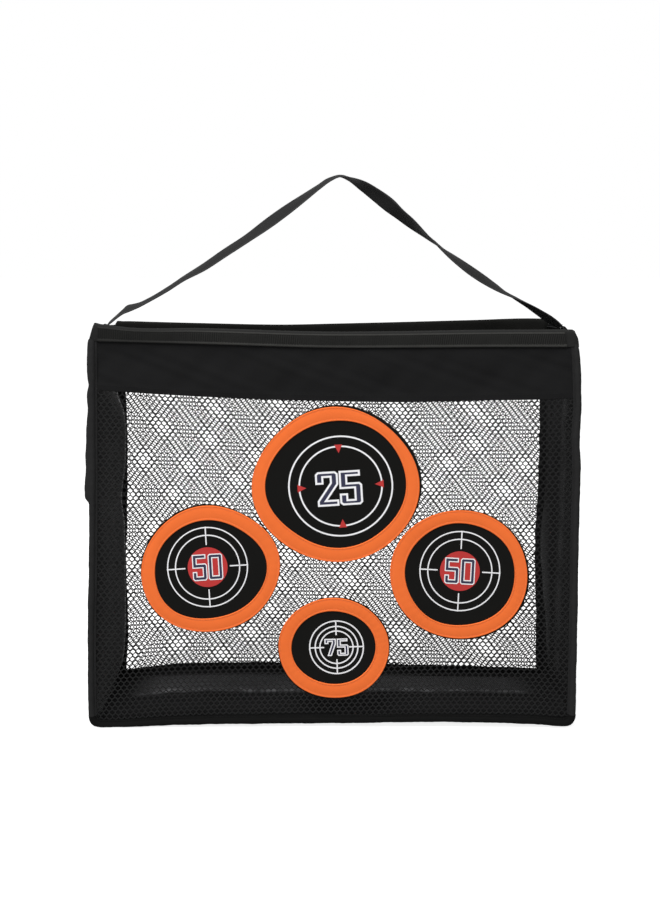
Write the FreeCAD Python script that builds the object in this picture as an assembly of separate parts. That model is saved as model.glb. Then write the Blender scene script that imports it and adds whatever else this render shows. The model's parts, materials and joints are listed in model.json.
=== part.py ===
import FreeCAD, Part
import math
import os

# A golf chipping net: two spring wire hoops dressed in black fabric and net stand
# one behind the other, joined by soft gussets into a box that is open at the top.
# Four round targets are sewn on the front net, and a webbing strap joins the sides.
# Millimetres. +X is to the right as seen from the front, +Y goes from the front
# panel to the back panel, +Z is up. The origin is on the ground, under the middle.

os.makedirs("parts", exist_ok=True)

# Overall size
face_width = 610.0
rim_height = 500.0
panel_spacing = 150.0
strap_apex_height = 698.5

# Wire hoop and the fabric sleeve round it
wire_diameter = 3.0
sleeve_diameter = 10.0
sleeve_wall = 1.2
corner_radius = 11.0
ground_flat_depth = 0.5
hoop_end_gap = 1.0
ferrule_length = 30.0
ferrule_diameter = 5.0
ferrule_clearance = 0.05

# Ribbed binding over the top run of each hoop
binding_height = 20.0
binding_thickness = 9.0
binding_wall = 1.2
binding_lip_height = 2.0
wire_below_rim = 7.0

# Solid fabric header below the binding, and the net below the header
header_bottom = 411.0
header_thickness = 2.0
header_tuck = 9.0
header_tuck_inset = 1.0
net_thickness = 0.8
net_columns = 20
net_rows = 15
net_strand = 3.0
net_margin = 4.0
hexagon_point_ratio = 0.5

# Hems of the back panel, seen through the front net
hem_width = 9.0
hem_thickness = 1.6

# Gussets between the two panels
gusset_thickness = 1.2
gusset_clearance = 0.2
moving_clearance = 0.5
side_gusset_bottom = 12.0
side_gusset_top = 486.0
tab_zone_bottom = 445.0

# Heights at which a side gusset's crease is set, and how far it folds in at each
side_gusset_levels = [side_gusset_bottom, 70.0, 230.0, 380.0, tab_zone_bottom, side_gusset_top]
left_fold_depths = [0.0, 20.0, 27.0, 20.0, 0.0, 0.0]
right_fold_depths = [0.0, 4.0, 5.0, 3.0, 0.0, 0.0]
bottom_gusset_edge = 3.0
bottom_gusset_crease = 16.0
gusset_hem_height = 8.0
gusset_hem_thickness = 2.4

# Carry strap, its sewn tabs and their rivets
strap_width = 20.0
strap_thickness = 2.0
tab_bottom = 450.0
tab_top = 504.0
tab_clearance = 0.3
rivet_height = 500.4
rivet_shank_radius = 1.8
rivet_hole_radius = 1.85
rivet_head_radius = 3.4
rivet_head_thickness = 1.2

# The strap's middle line seen from the front, as (x, z), from its left end to its
# right end. Below these ends the webbing bends where it leaves the sewn tabs.
strap_line = [
    (-277.0, 520.0),
    (-245.0, 534.0),
    (-196.0, 563.0),
    (-144.0, 594.0),
    (-82.0, 638.0),
    (-18.0, 684.0),
    (8.0, strap_apex_height - 0.5 * strap_thickness),
    (40.0, 685.0),
    (73.0, 659.0),
    (119.0, 622.0),
    (160.0, 587.0),
    (215.0, 549.0),
    (268.0, 520.5),
]
left_bend_line = [(-291.0, 509.0)]
right_bend_line = [(287.0, 509.5)]
bend_clearance = 0.8

# Targets: points value and side, centre (x, z), outer and inner size of the ring
# as (width, height), and how far the black disc behind it is sewn off centre.
targets = {
    "target_25": ((3.5, 306.5), (211.0, 196.0), (175.5, 158.5), (1.6, 1.6)),
    "target_50_left": ((-153.0, 200.0), (174.0, 162.0), (139.0, 122.5), (-0.4, 0.4)),
    "target_50_right": ((159.0, 193.0), (174.0, 163.0), (136.5, 127.5), (1.6, -0.6)),
    "target_75": ((1.0, 100.0), (140.0, 128.0), (104.5, 91.0), (0.9, -0.9)),
}
disc_overhang = 1.0
disc_thickness = 1.2
ring_thickness = 1.2

# Sizes that follow from the ones above
front_y = -0.5 * panel_spacing
back_y = 0.5 * panel_spacing
hoop_x = 0.5 * (face_width - sleeve_diameter)
hoop_bottom = 0.5 * sleeve_diameter - ground_flat_depth
hoop_top = rim_height - wire_below_rim
inner_x = 0.5 * face_width - sleeve_diameter
inner_bottom = hoop_bottom + 0.5 * sleeve_diameter
binding_bottom = rim_height - binding_height
binding_x = hoop_x - corner_radius
panel_half_gap = 0.5 * (panel_spacing - sleeve_diameter)


def vec(x, y, z):
    return FreeCAD.Vector(x, y, z)


def save(name, shape):
    if not shape.isValid():
        raise ValueError(name + " is not a valid solid")
    shape.exportStep("parts/" + name + ".step")


def block(x_range, y_range, z_range):
    size = [high - low for low, high in (x_range, y_range, z_range)]
    return Part.makeBox(size[0], size[1], size[2], vec(x_range[0], y_range[0], z_range[0]))


def prism_along_y(outline, y_low, y_high):
    """A solid with the given (x, z) outline between two depths."""
    corners = [vec(x, y_low, z) for x, z in outline]
    face = Part.Face(Part.makePolygon(corners + [corners[0]]))
    return face.extrude(vec(0, y_high - y_low, 0))


def prism_along_x(outline, x_low, x_high):
    """A solid with the given (y, z) outline between two sides."""
    corners = [vec(x_low, y, z) for y, z in outline]
    face = Part.Face(Part.makePolygon(corners + [corners[0]]))
    return face.extrude(vec(x_high - x_low, 0, 0))


def rod(start, end, radius):
    along = end.sub(start)
    return Part.makeCylinder(radius, along.Length, start, along)


def elbow(centre_x, centre_z, y, side_x, side_z, radius):
    """A quarter bend of a round bar, outwards to side_x and side_z from its centre."""
    start = vec(centre_x + side_x * corner_radius, y, centre_z)
    circle = Part.Circle(start, vec(0, 0, 1), radius)
    face = Part.Face(Part.Wire(circle.toShape()))
    turn = -90.0 * side_x * side_z
    return face.revolve(vec(centre_x, y, centre_z), vec(0, 1, 0), turn)


def joined(pieces):
    whole = pieces[0]
    for piece in pieces[1:]:
        whole = whole.fuse(piece)
    return whole.removeSplitter()


def side_run(y, side, radius):
    """One upright of the hoop with its top bend."""
    upright = rod(
        vec(side * hoop_x, y, hoop_bottom + corner_radius),
        vec(side * hoop_x, y, hoop_top - corner_radius),
        radius,
    )
    bend = elbow(side * binding_x, hoop_top - corner_radius, y, side, 1, radius)
    return [upright, bend]


def bottom_run(y, radius):
    """The bottom of the hoop with both of its bends."""
    low_centre = hoop_bottom + corner_radius
    straight = rod(vec(-binding_x, y, hoop_bottom), vec(binding_x, y, hoop_bottom), radius)
    left = elbow(-binding_x, low_centre, y, -1, -1, radius)
    right = elbow(binding_x, low_centre, y, 1, -1, radius)
    return [straight, left, right]


def sleeve(run, y):
    """A fabric tube along a run of the hoop, pressed flat where it meets the ground."""
    outside = joined(run(0.5 * sleeve_diameter))
    inside = joined(run(0.5 * sleeve_diameter - sleeve_wall))
    tube = outside.cut(inside)
    y_range = (y - sleeve_diameter, y + sleeve_diameter)
    below = block((-face_width, face_width), y_range, (-sleeve_diameter, 0.0))
    return tube.cut(below)


def wire_hoop(y):
    """The spring wire, open by a small gap inside the ferrule at the top."""
    radius = 0.5 * wire_diameter
    pieces = bottom_run(y, radius)
    for side in (-1, 1):
        pieces += side_run(y, side, radius)
        top_start = vec(side * 0.5 * hoop_end_gap, y, hoop_top)
        pieces.append(rod(top_start, vec(side * binding_x, y, hoop_top), radius))
    return joined(pieces)


def ferrule(y):
    start = vec(-0.5 * ferrule_length, y, hoop_top)
    end = vec(0.5 * ferrule_length, y, hoop_top)
    bore = 0.5 * wire_diameter + ferrule_clearance
    return rod(start, end, 0.5 * ferrule_diameter).cut(rod(start, end, bore))


def top_binding(y):
    """Ribbed tape folded over the top of the hoop, closed on the header by two lips."""
    half = 0.5 * binding_thickness
    shoulder = rim_height - half
    body = block((-binding_x, binding_x), (y - half, y + half), (binding_bottom, shoulder))
    crown = rod(vec(-binding_x, y, shoulder), vec(binding_x, y, shoulder), half)
    inner_half = half - binding_wall
    lip_top = binding_bottom + binding_lip_height
    hollow = block((-binding_x, binding_x), (y - inner_half, y + inner_half), (lip_top, shoulder))
    hollow_crown = rod(vec(-binding_x, y, shoulder), vec(binding_x, y, shoulder), inner_half)
    slot_half = 0.5 * header_thickness
    slot = block((-binding_x, binding_x), (y - slot_half, y + slot_half), (binding_bottom, lip_top))
    return body.fuse(crown).cut(hollow.fuse(hollow_crown).fuse(slot)).removeSplitter()


def header(y):
    """The solid fabric band, with its top edge tucked into the binding."""
    half = 0.5 * header_thickness
    band = block((-inner_x, inner_x), (y - half, y + half), (header_bottom, binding_bottom))
    tuck_x = binding_x - header_tuck_inset
    tuck = block((-tuck_x, tuck_x), (y - half, y + half), (binding_bottom, binding_bottom + header_tuck))
    return band.fuse(tuck).removeSplitter()


def rounded_sheet_wire(half_width, low, high, radius, y):
    """Outline of a sheet with its two lower corners rounded."""
    diagonal = radius * (1.0 - math.sqrt(0.5))
    a = vec(-half_width, y, low + radius)
    b = vec(-half_width + radius, y, low)
    c = vec(half_width - radius, y, low)
    d = vec(half_width, y, low + radius)
    e = vec(half_width, y, high)
    f = vec(-half_width, y, high)
    left_mid = vec(-half_width + diagonal, y, low + diagonal)
    right_mid = vec(half_width - diagonal, y, low + diagonal)
    edges = [
        Part.Arc(a, left_mid, b).toShape(),
        Part.LineSegment(b, c).toShape(),
        Part.Arc(c, right_mid, d).toShape(),
        Part.LineSegment(d, e).toShape(),
        Part.LineSegment(e, f).toShape(),
        Part.LineSegment(f, a).toShape(),
    ]
    return Part.Wire(edges)


def hexagon_wire(x, z, half_width, half_height, y):
    shoulder = hexagon_point_ratio * half_height
    outline = [
        (0.0, half_height),
        (half_width, shoulder),
        (half_width, -shoulder),
        (0.0, -half_height),
        (-half_width, -shoulder),
        (-half_width, shoulder),
    ]
    corners = [vec(x + dx, y, z + dz) for dx, dz in outline]
    return Part.makePolygon(corners + [corners[0]])


def net(half_width, low, high, corner, y):
    """A flat sheet holed by rows of six-sided gaps, every other row set over by half."""
    face_y = y - 0.5 * net_thickness
    if corner > 0:
        outline = rounded_sheet_wire(half_width, low, high, corner, face_y)
    else:
        flat = [(-half_width, low), (half_width, low), (half_width, high), (-half_width, high)]
        points = [vec(x, face_y, z) for x, z in flat]
        outline = Part.makePolygon(points + [points[0]])
    pitch_x = 2.0 * (half_width - net_margin) / (net_columns + 0.5)
    pitch_z = (high - low - 2.0 * net_margin) / (net_rows + 1.0 / 3.0)
    gap_half_width = 0.5 * (pitch_x - net_strand)
    gap_half_height = (2.0 / 3.0) * pitch_z - 0.5 * net_strand
    first_x = 0.5 * pitch_x - (half_width - net_margin)
    first_z = low + net_margin + (2.0 / 3.0) * pitch_z
    gaps = []
    for row in range(net_rows):
        z = first_z + pitch_z * row
        row_x = first_x + 0.5 * pitch_x * (row % 2)
        for column in range(net_columns):
            x = row_x + pitch_x * column
            gaps.append(hexagon_wire(x, z, gap_half_width, gap_half_height, face_y))
    holed = Part.Face([outline] + gaps)
    holed.validate()
    return holed.extrude(vec(0, net_thickness, 0))


def ellipse_plate(centre, size, y_front, y_rear):
    ellipse = Part.Ellipse(vec(0, 0, 0), 0.5 * size[0], 0.5 * size[1])
    face = Part.Face(Part.Wire(ellipse.toShape()))
    face.rotate(vec(0, 0, 0), vec(1, 0, 0), 90)
    face.translate(vec(centre[0], y_front, centre[1]))
    return face.extrude(vec(0, y_rear - y_front, 0))


def side_gusset(side, fold_depths):
    """One side wall, creased inwards along its middle, as a ruled skin of level sections."""
    half = 0.5 * gusset_thickness
    y_front = -panel_half_gap + gusset_clearance
    y_rear = panel_half_gap - moving_clearance
    sections = []
    for level, depth in zip(side_gusset_levels, fold_depths):
        crease = hoop_x - depth
        plan = [
            (side * (hoop_x + half), y_front),
            (side * (crease + half), 0.0),
            (side * (hoop_x + half), y_rear),
            (side * (hoop_x - half), y_rear),
            (side * (crease - half), 0.0),
            (side * (hoop_x - half), y_front),
        ]
        corners = [vec(x, y, level) for x, y in plan]
        sections.append(Part.makePolygon(corners + [corners[0]]))
    return Part.makeLoft(sections, True, True)


def bottom_gusset():
    """The floor of the net, lifted along its middle crease."""
    y_front = -panel_half_gap + gusset_clearance
    y_rear = panel_half_gap - moving_clearance
    outline = [
        (y_front, bottom_gusset_edge),
        (0.0, bottom_gusset_crease),
        (y_rear, bottom_gusset_edge),
        (y_rear, bottom_gusset_edge + gusset_thickness),
        (0.0, bottom_gusset_crease + gusset_thickness),
        (y_front, bottom_gusset_edge + gusset_thickness),
    ]
    return prism_along_x(outline, -binding_x, binding_x)


def gusset_top_hem(side):
    half = 0.5 * gusset_hem_thickness
    x_range = sorted((side * (hoop_x - half), side * (hoop_x + half)))
    y_range = (-panel_half_gap + moving_clearance, panel_half_gap - moving_clearance)
    return block(x_range, y_range, (side_gusset_top, side_gusset_top + gusset_hem_height))


def ribbon(line):
    """A flat strap of even thickness along an (x, z) line, as wide as the webbing."""
    half = 0.5 * strap_thickness
    upper = []
    lower = []
    for index, point in enumerate(line):
        before = line[max(index - 1, 0)]
        after = line[min(index + 1, len(line) - 1)]
        run_x = after[0] - before[0]
        run_z = after[1] - before[1]
        length = math.hypot(run_x, run_z)
        normal = (-run_z / length, run_x / length)
        upper.append((point[0] + half * normal[0], point[1] + half * normal[1]))
        lower.append((point[0] - half * normal[0], point[1] - half * normal[1]))
    outline = upper + lower[::-1]
    return prism_along_y(outline, -0.5 * strap_width, 0.5 * strap_width)


tab_inner_x = hoop_x - 0.5 * gusset_hem_thickness - tab_clearance - strap_thickness
tab_outer_x = tab_inner_x + strap_thickness
tab_middle_x = tab_inner_x + 0.5 * strap_thickness


def strap_tab(side):
    x_range = sorted((side * tab_inner_x, side * tab_outer_x))
    tab = block(x_range, (-0.5 * strap_width, 0.5 * strap_width), (tab_bottom, tab_top))
    start = vec(side * (tab_inner_x - strap_thickness), 0, rivet_height)
    end = vec(side * (tab_outer_x + strap_thickness), 0, rivet_height)
    return tab.cut(rod(start, end, rivet_hole_radius))


def strap_rivet(side):
    inner_head = rod(
        vec(side * (tab_inner_x - rivet_head_thickness), 0, rivet_height),
        vec(side * tab_inner_x, 0, rivet_height),
        rivet_head_radius,
    )
    shank = rod(
        vec(side * tab_inner_x, 0, rivet_height),
        vec(side * tab_outer_x, 0, rivet_height),
        rivet_shank_radius,
    )
    outer_head = rod(
        vec(side * tab_outer_x, 0, rivet_height),
        vec(side * (tab_outer_x + rivet_head_thickness), 0, rivet_height),
        rivet_head_radius,
    )
    return inner_head.fuse(shank).fuse(outer_head).removeSplitter()


def strap_bend(side, bend_line, strap_end, strap_next):
    """The short free length that flexes between a sewn tab and the strap."""
    foot = (side * tab_middle_x, tab_top)
    run_x = strap_next[0] - strap_end[0]
    run_z = strap_next[1] - strap_end[1]
    back = bend_clearance / math.hypot(run_x, run_z)
    head = (strap_end[0] - back * run_x, strap_end[1] - back * run_z)
    line = [foot] + bend_line + [head]
    half = 0.5 * strap_thickness
    bend = ribbon(line)
    above_tab = block(
        (-face_width, face_width), (-strap_width, strap_width), (tab_top, strap_apex_height)
    )
    stub = block(
        (side * tab_middle_x - half, side * tab_middle_x + half),
        (-0.5 * strap_width, 0.5 * strap_width),
        (tab_top, tab_top + half),
    )
    return bend.common(above_tab).fuse(stub).removeSplitter()


# The hoops, sleeves, bindings and headers are alike on both panels
for panel, panel_y in (("front", front_y), ("back", back_y)):
    save(panel + "_wire_hoop", wire_hoop(panel_y))
    save(panel + "_wire_ferrule", ferrule(panel_y))
    save(panel + "_top_binding", top_binding(panel_y))
    save(panel + "_header", header(panel_y))
    left_side = sleeve(lambda radius: side_run(panel_y, -1, radius), panel_y)
    save(panel + "_left_sleeve", left_side)
    right_side = sleeve(lambda radius: side_run(panel_y, 1, radius), panel_y)
    save(panel + "_right_sleeve", right_side)
    save(panel + "_bottom_sleeve", sleeve(lambda radius: bottom_run(panel_y, radius), panel_y))

# The front net runs right up to the sleeves, the back net stops at the hems
inner_corner = corner_radius - 0.5 * sleeve_diameter
save("front_net", net(inner_x, inner_bottom, header_bottom, inner_corner, front_y))
hem_inner_x = inner_x - hem_width
hem_top = inner_bottom + hem_width
save("back_net", net(hem_inner_x, hem_top, header_bottom, 0.0, back_y))
hem_y = (back_y - 0.5 * hem_thickness, back_y + 0.5 * hem_thickness)
save("back_left_hem", block((-inner_x, -hem_inner_x), hem_y, (hem_top, header_bottom)))
save("back_right_hem", block((hem_inner_x, inner_x), hem_y, (hem_top, header_bottom)))
bottom_hem_wire = rounded_sheet_wire(inner_x, inner_bottom, hem_top, inner_corner, hem_y[0])
save("back_bottom_hem", Part.Face(bottom_hem_wire).extrude(vec(0, hem_thickness, 0)))

# Targets, each a printed black disc on the net with an orange ring sewn round it
net_front = front_y - 0.5 * net_thickness
disc_front = net_front - disc_thickness
ring_front = disc_front - ring_thickness
for name, (centre, outer, inner, offset) in targets.items():
    disc_centre = (centre[0] + offset[0], centre[1] + offset[1])
    disc_size = (outer[0] + 2.0 * disc_overhang, outer[1] + 2.0 * disc_overhang)
    save(name + "_disc", ellipse_plate(disc_centre, disc_size, disc_front, net_front))
    ring = ellipse_plate(centre, outer, ring_front, disc_front)
    hole = ellipse_plate(centre, inner, ring_front, disc_front)
    save(name + "_ring", ring.cut(hole))

# Gussets
save("left_gusset", side_gusset(-1, left_fold_depths))
save("right_gusset", side_gusset(1, right_fold_depths))
save("bottom_gusset", bottom_gusset())
save("left_gusset_hem", gusset_top_hem(-1))
save("right_gusset_hem", gusset_top_hem(1))

# Strap
save("carry_strap", ribbon(strap_line))
save("left_strap_tab", strap_tab(-1))
save("right_strap_tab", strap_tab(1))
save("left_strap_rivet", strap_rivet(-1))
save("right_strap_rivet", strap_rivet(1))
save("left_strap_bend", strap_bend(-1, left_bend_line, strap_line[0], strap_line[1]))
save("right_strap_bend", strap_bend(1, right_bend_line, strap_line[-1], strap_line[-2]))
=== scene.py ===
import json
import math

import bpy
import numpy as np
from mathutils.geometry import tessellate_polygon
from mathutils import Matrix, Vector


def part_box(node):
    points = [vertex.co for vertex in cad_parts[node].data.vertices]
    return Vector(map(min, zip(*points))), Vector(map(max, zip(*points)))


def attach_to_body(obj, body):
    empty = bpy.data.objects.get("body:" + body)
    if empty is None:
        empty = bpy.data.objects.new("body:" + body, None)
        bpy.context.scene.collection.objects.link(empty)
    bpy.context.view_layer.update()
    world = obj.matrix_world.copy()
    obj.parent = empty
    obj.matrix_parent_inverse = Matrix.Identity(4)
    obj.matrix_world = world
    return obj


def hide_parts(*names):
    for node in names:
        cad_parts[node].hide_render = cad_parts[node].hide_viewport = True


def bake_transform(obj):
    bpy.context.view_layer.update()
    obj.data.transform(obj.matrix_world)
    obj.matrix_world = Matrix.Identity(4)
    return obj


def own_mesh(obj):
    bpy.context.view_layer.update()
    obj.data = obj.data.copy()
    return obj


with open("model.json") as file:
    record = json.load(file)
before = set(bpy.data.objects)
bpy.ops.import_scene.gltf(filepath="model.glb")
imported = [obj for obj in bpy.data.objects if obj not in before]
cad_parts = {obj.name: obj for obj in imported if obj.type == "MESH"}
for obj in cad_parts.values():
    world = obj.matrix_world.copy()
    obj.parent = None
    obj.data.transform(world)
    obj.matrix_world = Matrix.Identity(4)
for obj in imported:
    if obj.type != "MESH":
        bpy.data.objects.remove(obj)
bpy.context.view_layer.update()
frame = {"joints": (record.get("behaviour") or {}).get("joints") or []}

# The looks of a golf chipping net. All sizes are in millimetres until a mesh is made.
# +X is to the right as seen from the front, +Y goes from the front panel to the back
# panel, +Z is up. Panel parts are laid out flat, as they were cut, and then follow the
# slightly uneven outline that the sewn net has.
MM = 0.001
X, Y, Z = range(3)


def lowest(node, axis):
    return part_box(node)[0][axis] / MM


def highest(node, axis):
    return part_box(node)[1][axis] / MM


def middle(node, axis):
    return 0.5 * (lowest(node, axis) + highest(node, axis))


def half_size(node, axis):
    return 0.5 * (highest(node, axis) - lowest(node, axis))


# Sizes read from the frame
wire_radius = 1.5
front_y = middle("front_header", Y)
back_y = middle("back_header", Y)
half_width = highest("front_right_sleeve", X)
sleeve_radius = half_size("front_right_sleeve", Y)
hoop_x = half_width - sleeve_radius
hoop_low = lowest("front_wire_hoop", Z) + wire_radius
hoop_high = highest("front_wire_hoop", Z) - wire_radius
binding_x = highest("front_top_binding", X)
binding_z = lowest("front_top_binding", Z)
rim_z = highest("front_top_binding", Z)
corner_radius = hoop_x - binding_x
header_z = lowest("front_header", Z)
inner_x = highest("front_net", X)
inner_z = lowest("front_net", Z)
hem_x = highest("back_net", X)
hem_z = lowest("back_net", Z)
gusset_top = highest("left_gusset", Z)
hem_top = highest("left_gusset_hem", Z)
tab_x = middle("right_strap_tab", X)
tab_low = lowest("right_strap_tab", Z)
rivet_z = middle("right_strap_rivet", Z)

# The bottom bows up between its corners, which lifts what hangs on the hoop
lift = 1.5

# Camera, as measured from the photograph of 660 by 900 pixels
image_width, image_height = 660, 900
focal_pixels = 1080.0
vanishing_x, vanishing_y = 328.0, 277.0
camera_place = (-6.0, -1425.0, 589.0 + lift)
camera_pitch = 1.0
sensor_width = 36.0


def add_object(name, data):
    made = bpy.data.objects.new(name, data)
    bpy.context.scene.collection.objects.link(made)
    return made


def make_camera():
    data = bpy.data.cameras.new("camera")
    data.sensor_fit = "AUTO"
    data.sensor_width = sensor_width
    data.lens = focal_pixels / image_height * sensor_width
    data.shift_x = (0.5 * image_width - vanishing_x) / image_height
    data.shift_y = (vanishing_y - 0.5 * image_height) / image_height
    data.clip_start = 0.05
    data.clip_end = 100.0
    camera = add_object("camera", data)
    camera.location = [value * MM for value in camera_place]
    camera.rotation_euler = (math.radians(90.0 - camera_pitch), 0.0, 0.0)
    bpy.context.scene.camera = camera


# Curves and waves


def smooth(*points):
    """A smooth curve through given (position, value) points, level beyond its ends."""
    at, value = np.array(points, float).T
    slope = np.gradient(value, at)

    def curve(x):
        x = np.clip(x, at[0], at[-1])
        i = np.clip(np.searchsorted(at, x) - 1, 0, len(at) - 2)
        gap = at[i + 1] - at[i]
        t = (x - at[i]) / gap
        rise = value[i] * (1 + 2 * t) * (1 - t) ** 2 + value[i + 1] * t * t * (3 - 2 * t)
        return rise + gap * t * (1 - t) * (slope[i] * (1 - t) - slope[i + 1] * t)

    return curve


def bell(x, middle_x, width):
    return np.exp(-((x - middle_x) / width) ** 2)


wave_count = 5
wave_shrink = 0.72
wave_scale = 2.2


def waves(u, v, length, seed):
    """Soft uneven waves between about -1 and 1. length is that of the longest."""
    chance = np.random.default_rng(seed)
    total = 0.0
    for octave in range(wave_count):
        angle, phase = chance.random(2) * math.tau
        shrink = wave_shrink ** octave
        turn = math.tau / (length * shrink) * (u * math.cos(angle) + v * math.sin(angle))
        total = total + shrink * np.sin(turn + phase)
    return total / wave_scale


def unit(vectors):
    return vectors / np.maximum(np.linalg.norm(vectors, axis=-1, keepdims=True), 1e-9)


def pairs(a, b):
    """Points or vectors with the given first and second coordinates."""
    return np.stack(np.broadcast_arrays(a, b), -1)


def full_turn(count):
    return np.arange(count) / count * math.tau


def gone_along(line):
    """The distance gone at each point of a line, from its first."""
    return np.concatenate([[0.0], np.cumsum(np.linalg.norm(np.diff(line, axis=0), axis=1))])


# The panels bow a little to their front and back
bow_depth = 1.2
bow_length = 420.0
# The floor presses the sleeves a little flat from below
pressed_below = 3.0
floor_press = 0.36


class Panel:
    """One of the two panels. outer is -1 where its outer side is its front, and 1 where it
    is its back. rows and columns hold how far the sewn outline is from the flat cut, as
    (height, curve of rise along x) and (x, curve of shift along height)."""

    def __init__(self, name, y, outer, rows, columns, seed):
        self.name = name
        self.body = name + "_panel"
        self.y = y
        self.outer = outer
        self.rows = rows
        self.columns = columns
        self.seed = seed

    def between(self, stops, at, along):
        """The shift at `at`, mixed from the curves of the two stops beside it."""
        places, curves = zip(*stops)
        return sum(np.interp(at, places, share) * curve(along)
                   for share, curve in zip(np.eye(len(stops)), curves))

    def flat(self, x, z, depth):
        """A point at its true x and z. depth is measured backwards from the panel."""
        bow = bow_depth * waves(x, z, bow_length, self.seed)
        return np.stack([x, self.y + depth + bow, z], -1)

    def place(self, x, z, depth):
        """Where a point of the flat cut lies on the sewn net."""
        x, z, depth = np.broadcast_arrays(x, z, depth)
        real_x = x + self.between(self.columns, x, z)
        real_z = z + self.between(self.rows, z, x)
        real_z = real_z + floor_press * np.maximum(pressed_below - real_z, 0)
        return self.flat(real_x, real_z, depth)


front = Panel(
    "front", front_y, -1,
    rows=[
        (0.0, smooth((-305, -0.3), (-270, -0.4), (-247, 1.0), (-217, 3.0), (-166, 4.7), (-91, 5.5),
                     (10, 5.9), (110, 7.7), (161, 7.5), (211, 6.7), (262, 4.7), (287, 2.3), (305, 1.2))),
        (header_z, smooth((-297, 14.4), (-230, 9.8), (-166, 6), (-80, 2.3), (-3, 0.3), (84, -0.9),
                          (168, 0.7), (260, 2.5), (300, 4))),
        (binding_z, smooth((-296, 6.6), (-166, 3.3), (-3, -1.3), (110, -1.2), (171, -0.8), (300, -0.5))),
        (rim_z, smooth((-305, 10), (-297, 9.8), (-292, 8.8), (-280, 7), (-266, 5), (-166, 3.1),
                       (-3, -1.3), (84, -0.8), (172, 0.6), (301, 1.4))),
    ],
    columns=[
        (-half_width, smooth((0, -0.3), (10, -1.5), (60, -2.8), (120, -2.6), (180, -1.3),
                             (260, -0.6), (420, -0.4), (480, -0.3), (500, 0.2))),
        (half_width, smooth((0, -0.4), (50, 0.7), (150, 2.7), (265, 4.4), (325, 5.7), (365, 4.3),
                            (400, 6.4), (440, 5.4), (470, 4.2), (488, 2.4), (500, -0.6))),
    ],
    seed=3,
)
back = Panel(
    "back", back_y, 1,
    rows=[
        (0.0, smooth((-305, 0), (-218, 3), (-143, 4.5), (0, 4.5), (137, 3), (285, 0.8), (305, 0.5))),
        (hem_z, smooth((-288, -3.7), (-218, 4.8), (-143, 6.6), (0, 6), (137, 3.6), (285, -0.9))),
        (header_z, smooth((-297, 6), (-150, 2.5), (0, 0), (150, 3), (297, 6))),
        (rim_z, smooth((-300, 3.6), (-184, 0.4), (-59, -1.7), (-3, -0.5), (100, 2), (191, 4.5),
                       (282, 6.8), (305, 6))),
    ],
    columns=[
        (-half_width, smooth((0, -0.5), (150, -2), (350, -2.5), (480, -0.5))),
        (-hem_x, smooth((16, -2), (32, -1.4), (49, 0), (65, 0.8), (99, 0.3), (133, -0.8), (167, -1.8),
                        (200, -0.8), (234, 0.3), (300, 0.2), (351, 0.6), (385, -1), (411, -2.2), (480, -1))),
        (hem_x, smooth((16, -1.2), (60, -2), (90, -1.6), (135, -2.8), (168, -3.3), (214, -2.5), (252, 0.3),
                       (286, 1.6), (320, 2.5), (352, 2.8), (393, 2.4), (480, 1))),
        (half_width, smooth((0, 0), (168, -1), (393, 3.5), (500, 0))),
    ],
    seed=8,
)


def across(x, z, y):
    """A point of a gusset: between the two panels' outlines, in step with its depth."""
    share = np.clip((y - front_y) / (back_y - front_y), 0.0, 1.0)[..., None]
    point = (1 - share) * front.place(x, z, 0.0) + share * back.place(x, z, 0.0)
    point[..., Y] = y
    return point


# Seams. A seam is a list of stations on the flat cut and, at each, the direction into the
# panel. On the hoop, run follows its middle line from the middle of its bottom, to the
# right where positive.

seam_step = 4.0
upright = hoop_high - hoop_low - 2 * corner_radius
quarter = 0.5 * math.pi * corner_radius
corner_middle = binding_x + 0.5 * quarter
corner_end = binding_x + quarter
half_loop = corner_end + upright + quarter + binding_x


def run_at_height(z):
    return corner_end + z - hoop_low - corner_radius


def hoop_seam(run):
    """The seam along a hoop's middle line."""
    side = np.where(run < 0, -1.0, 1.0)
    run = np.abs(run)
    past = run - corner_end
    first = np.clip((run - binding_x) / corner_radius, 0.0, 0.5 * math.pi)
    second = np.clip((past - upright) / corner_radius, 0.0, 0.5 * math.pi)
    top = np.maximum(past - upright - quarter, 0.0)
    out = np.sin(first) - (1 - np.cos(second))
    x = side * (np.minimum(run, binding_x) + corner_radius * out - top)
    z = hoop_low + corner_radius * (1 - np.cos(first) + np.sin(second)) + np.clip(past, 0.0, upright)
    return pairs(x, z), pairs(-side * np.sin(first + second), np.cos(first + second))


def straight_seam(start, end, inward, step):
    """Even stations, about a step apart, from a start to an end."""
    start, end = np.array(start, float), np.array(end, float)
    share = np.linspace(0, 1, 1 + round(np.linalg.norm(end - start) / step))[:, None]
    return start + (end - start) * share, np.broadcast_to(np.array(inward, float), (len(share), 2))


def level_seam(low_x, high_x, z, step):
    """A seam along a level line, with the panel's inside reckoned as upwards."""
    return straight_seam((low_x, z), (high_x, z), (0, 1), step)


# Mesh making. A part is a dict of points, four-sided and three-sided faces and, for each
# face corner, its place on the cloth in millimetres.

quad_steps = ((0, 0), (0, 1), (1, 1), (1, 0))


def distances(rings, axis):
    """Mean distances gone from ring to ring, or from point to point, back to the first."""
    steps = np.linalg.norm(np.roll(rings, -1, axis) - rings, axis=2).mean(1 - axis)
    return np.concatenate([[0.0], np.cumsum(steps)])


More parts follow.
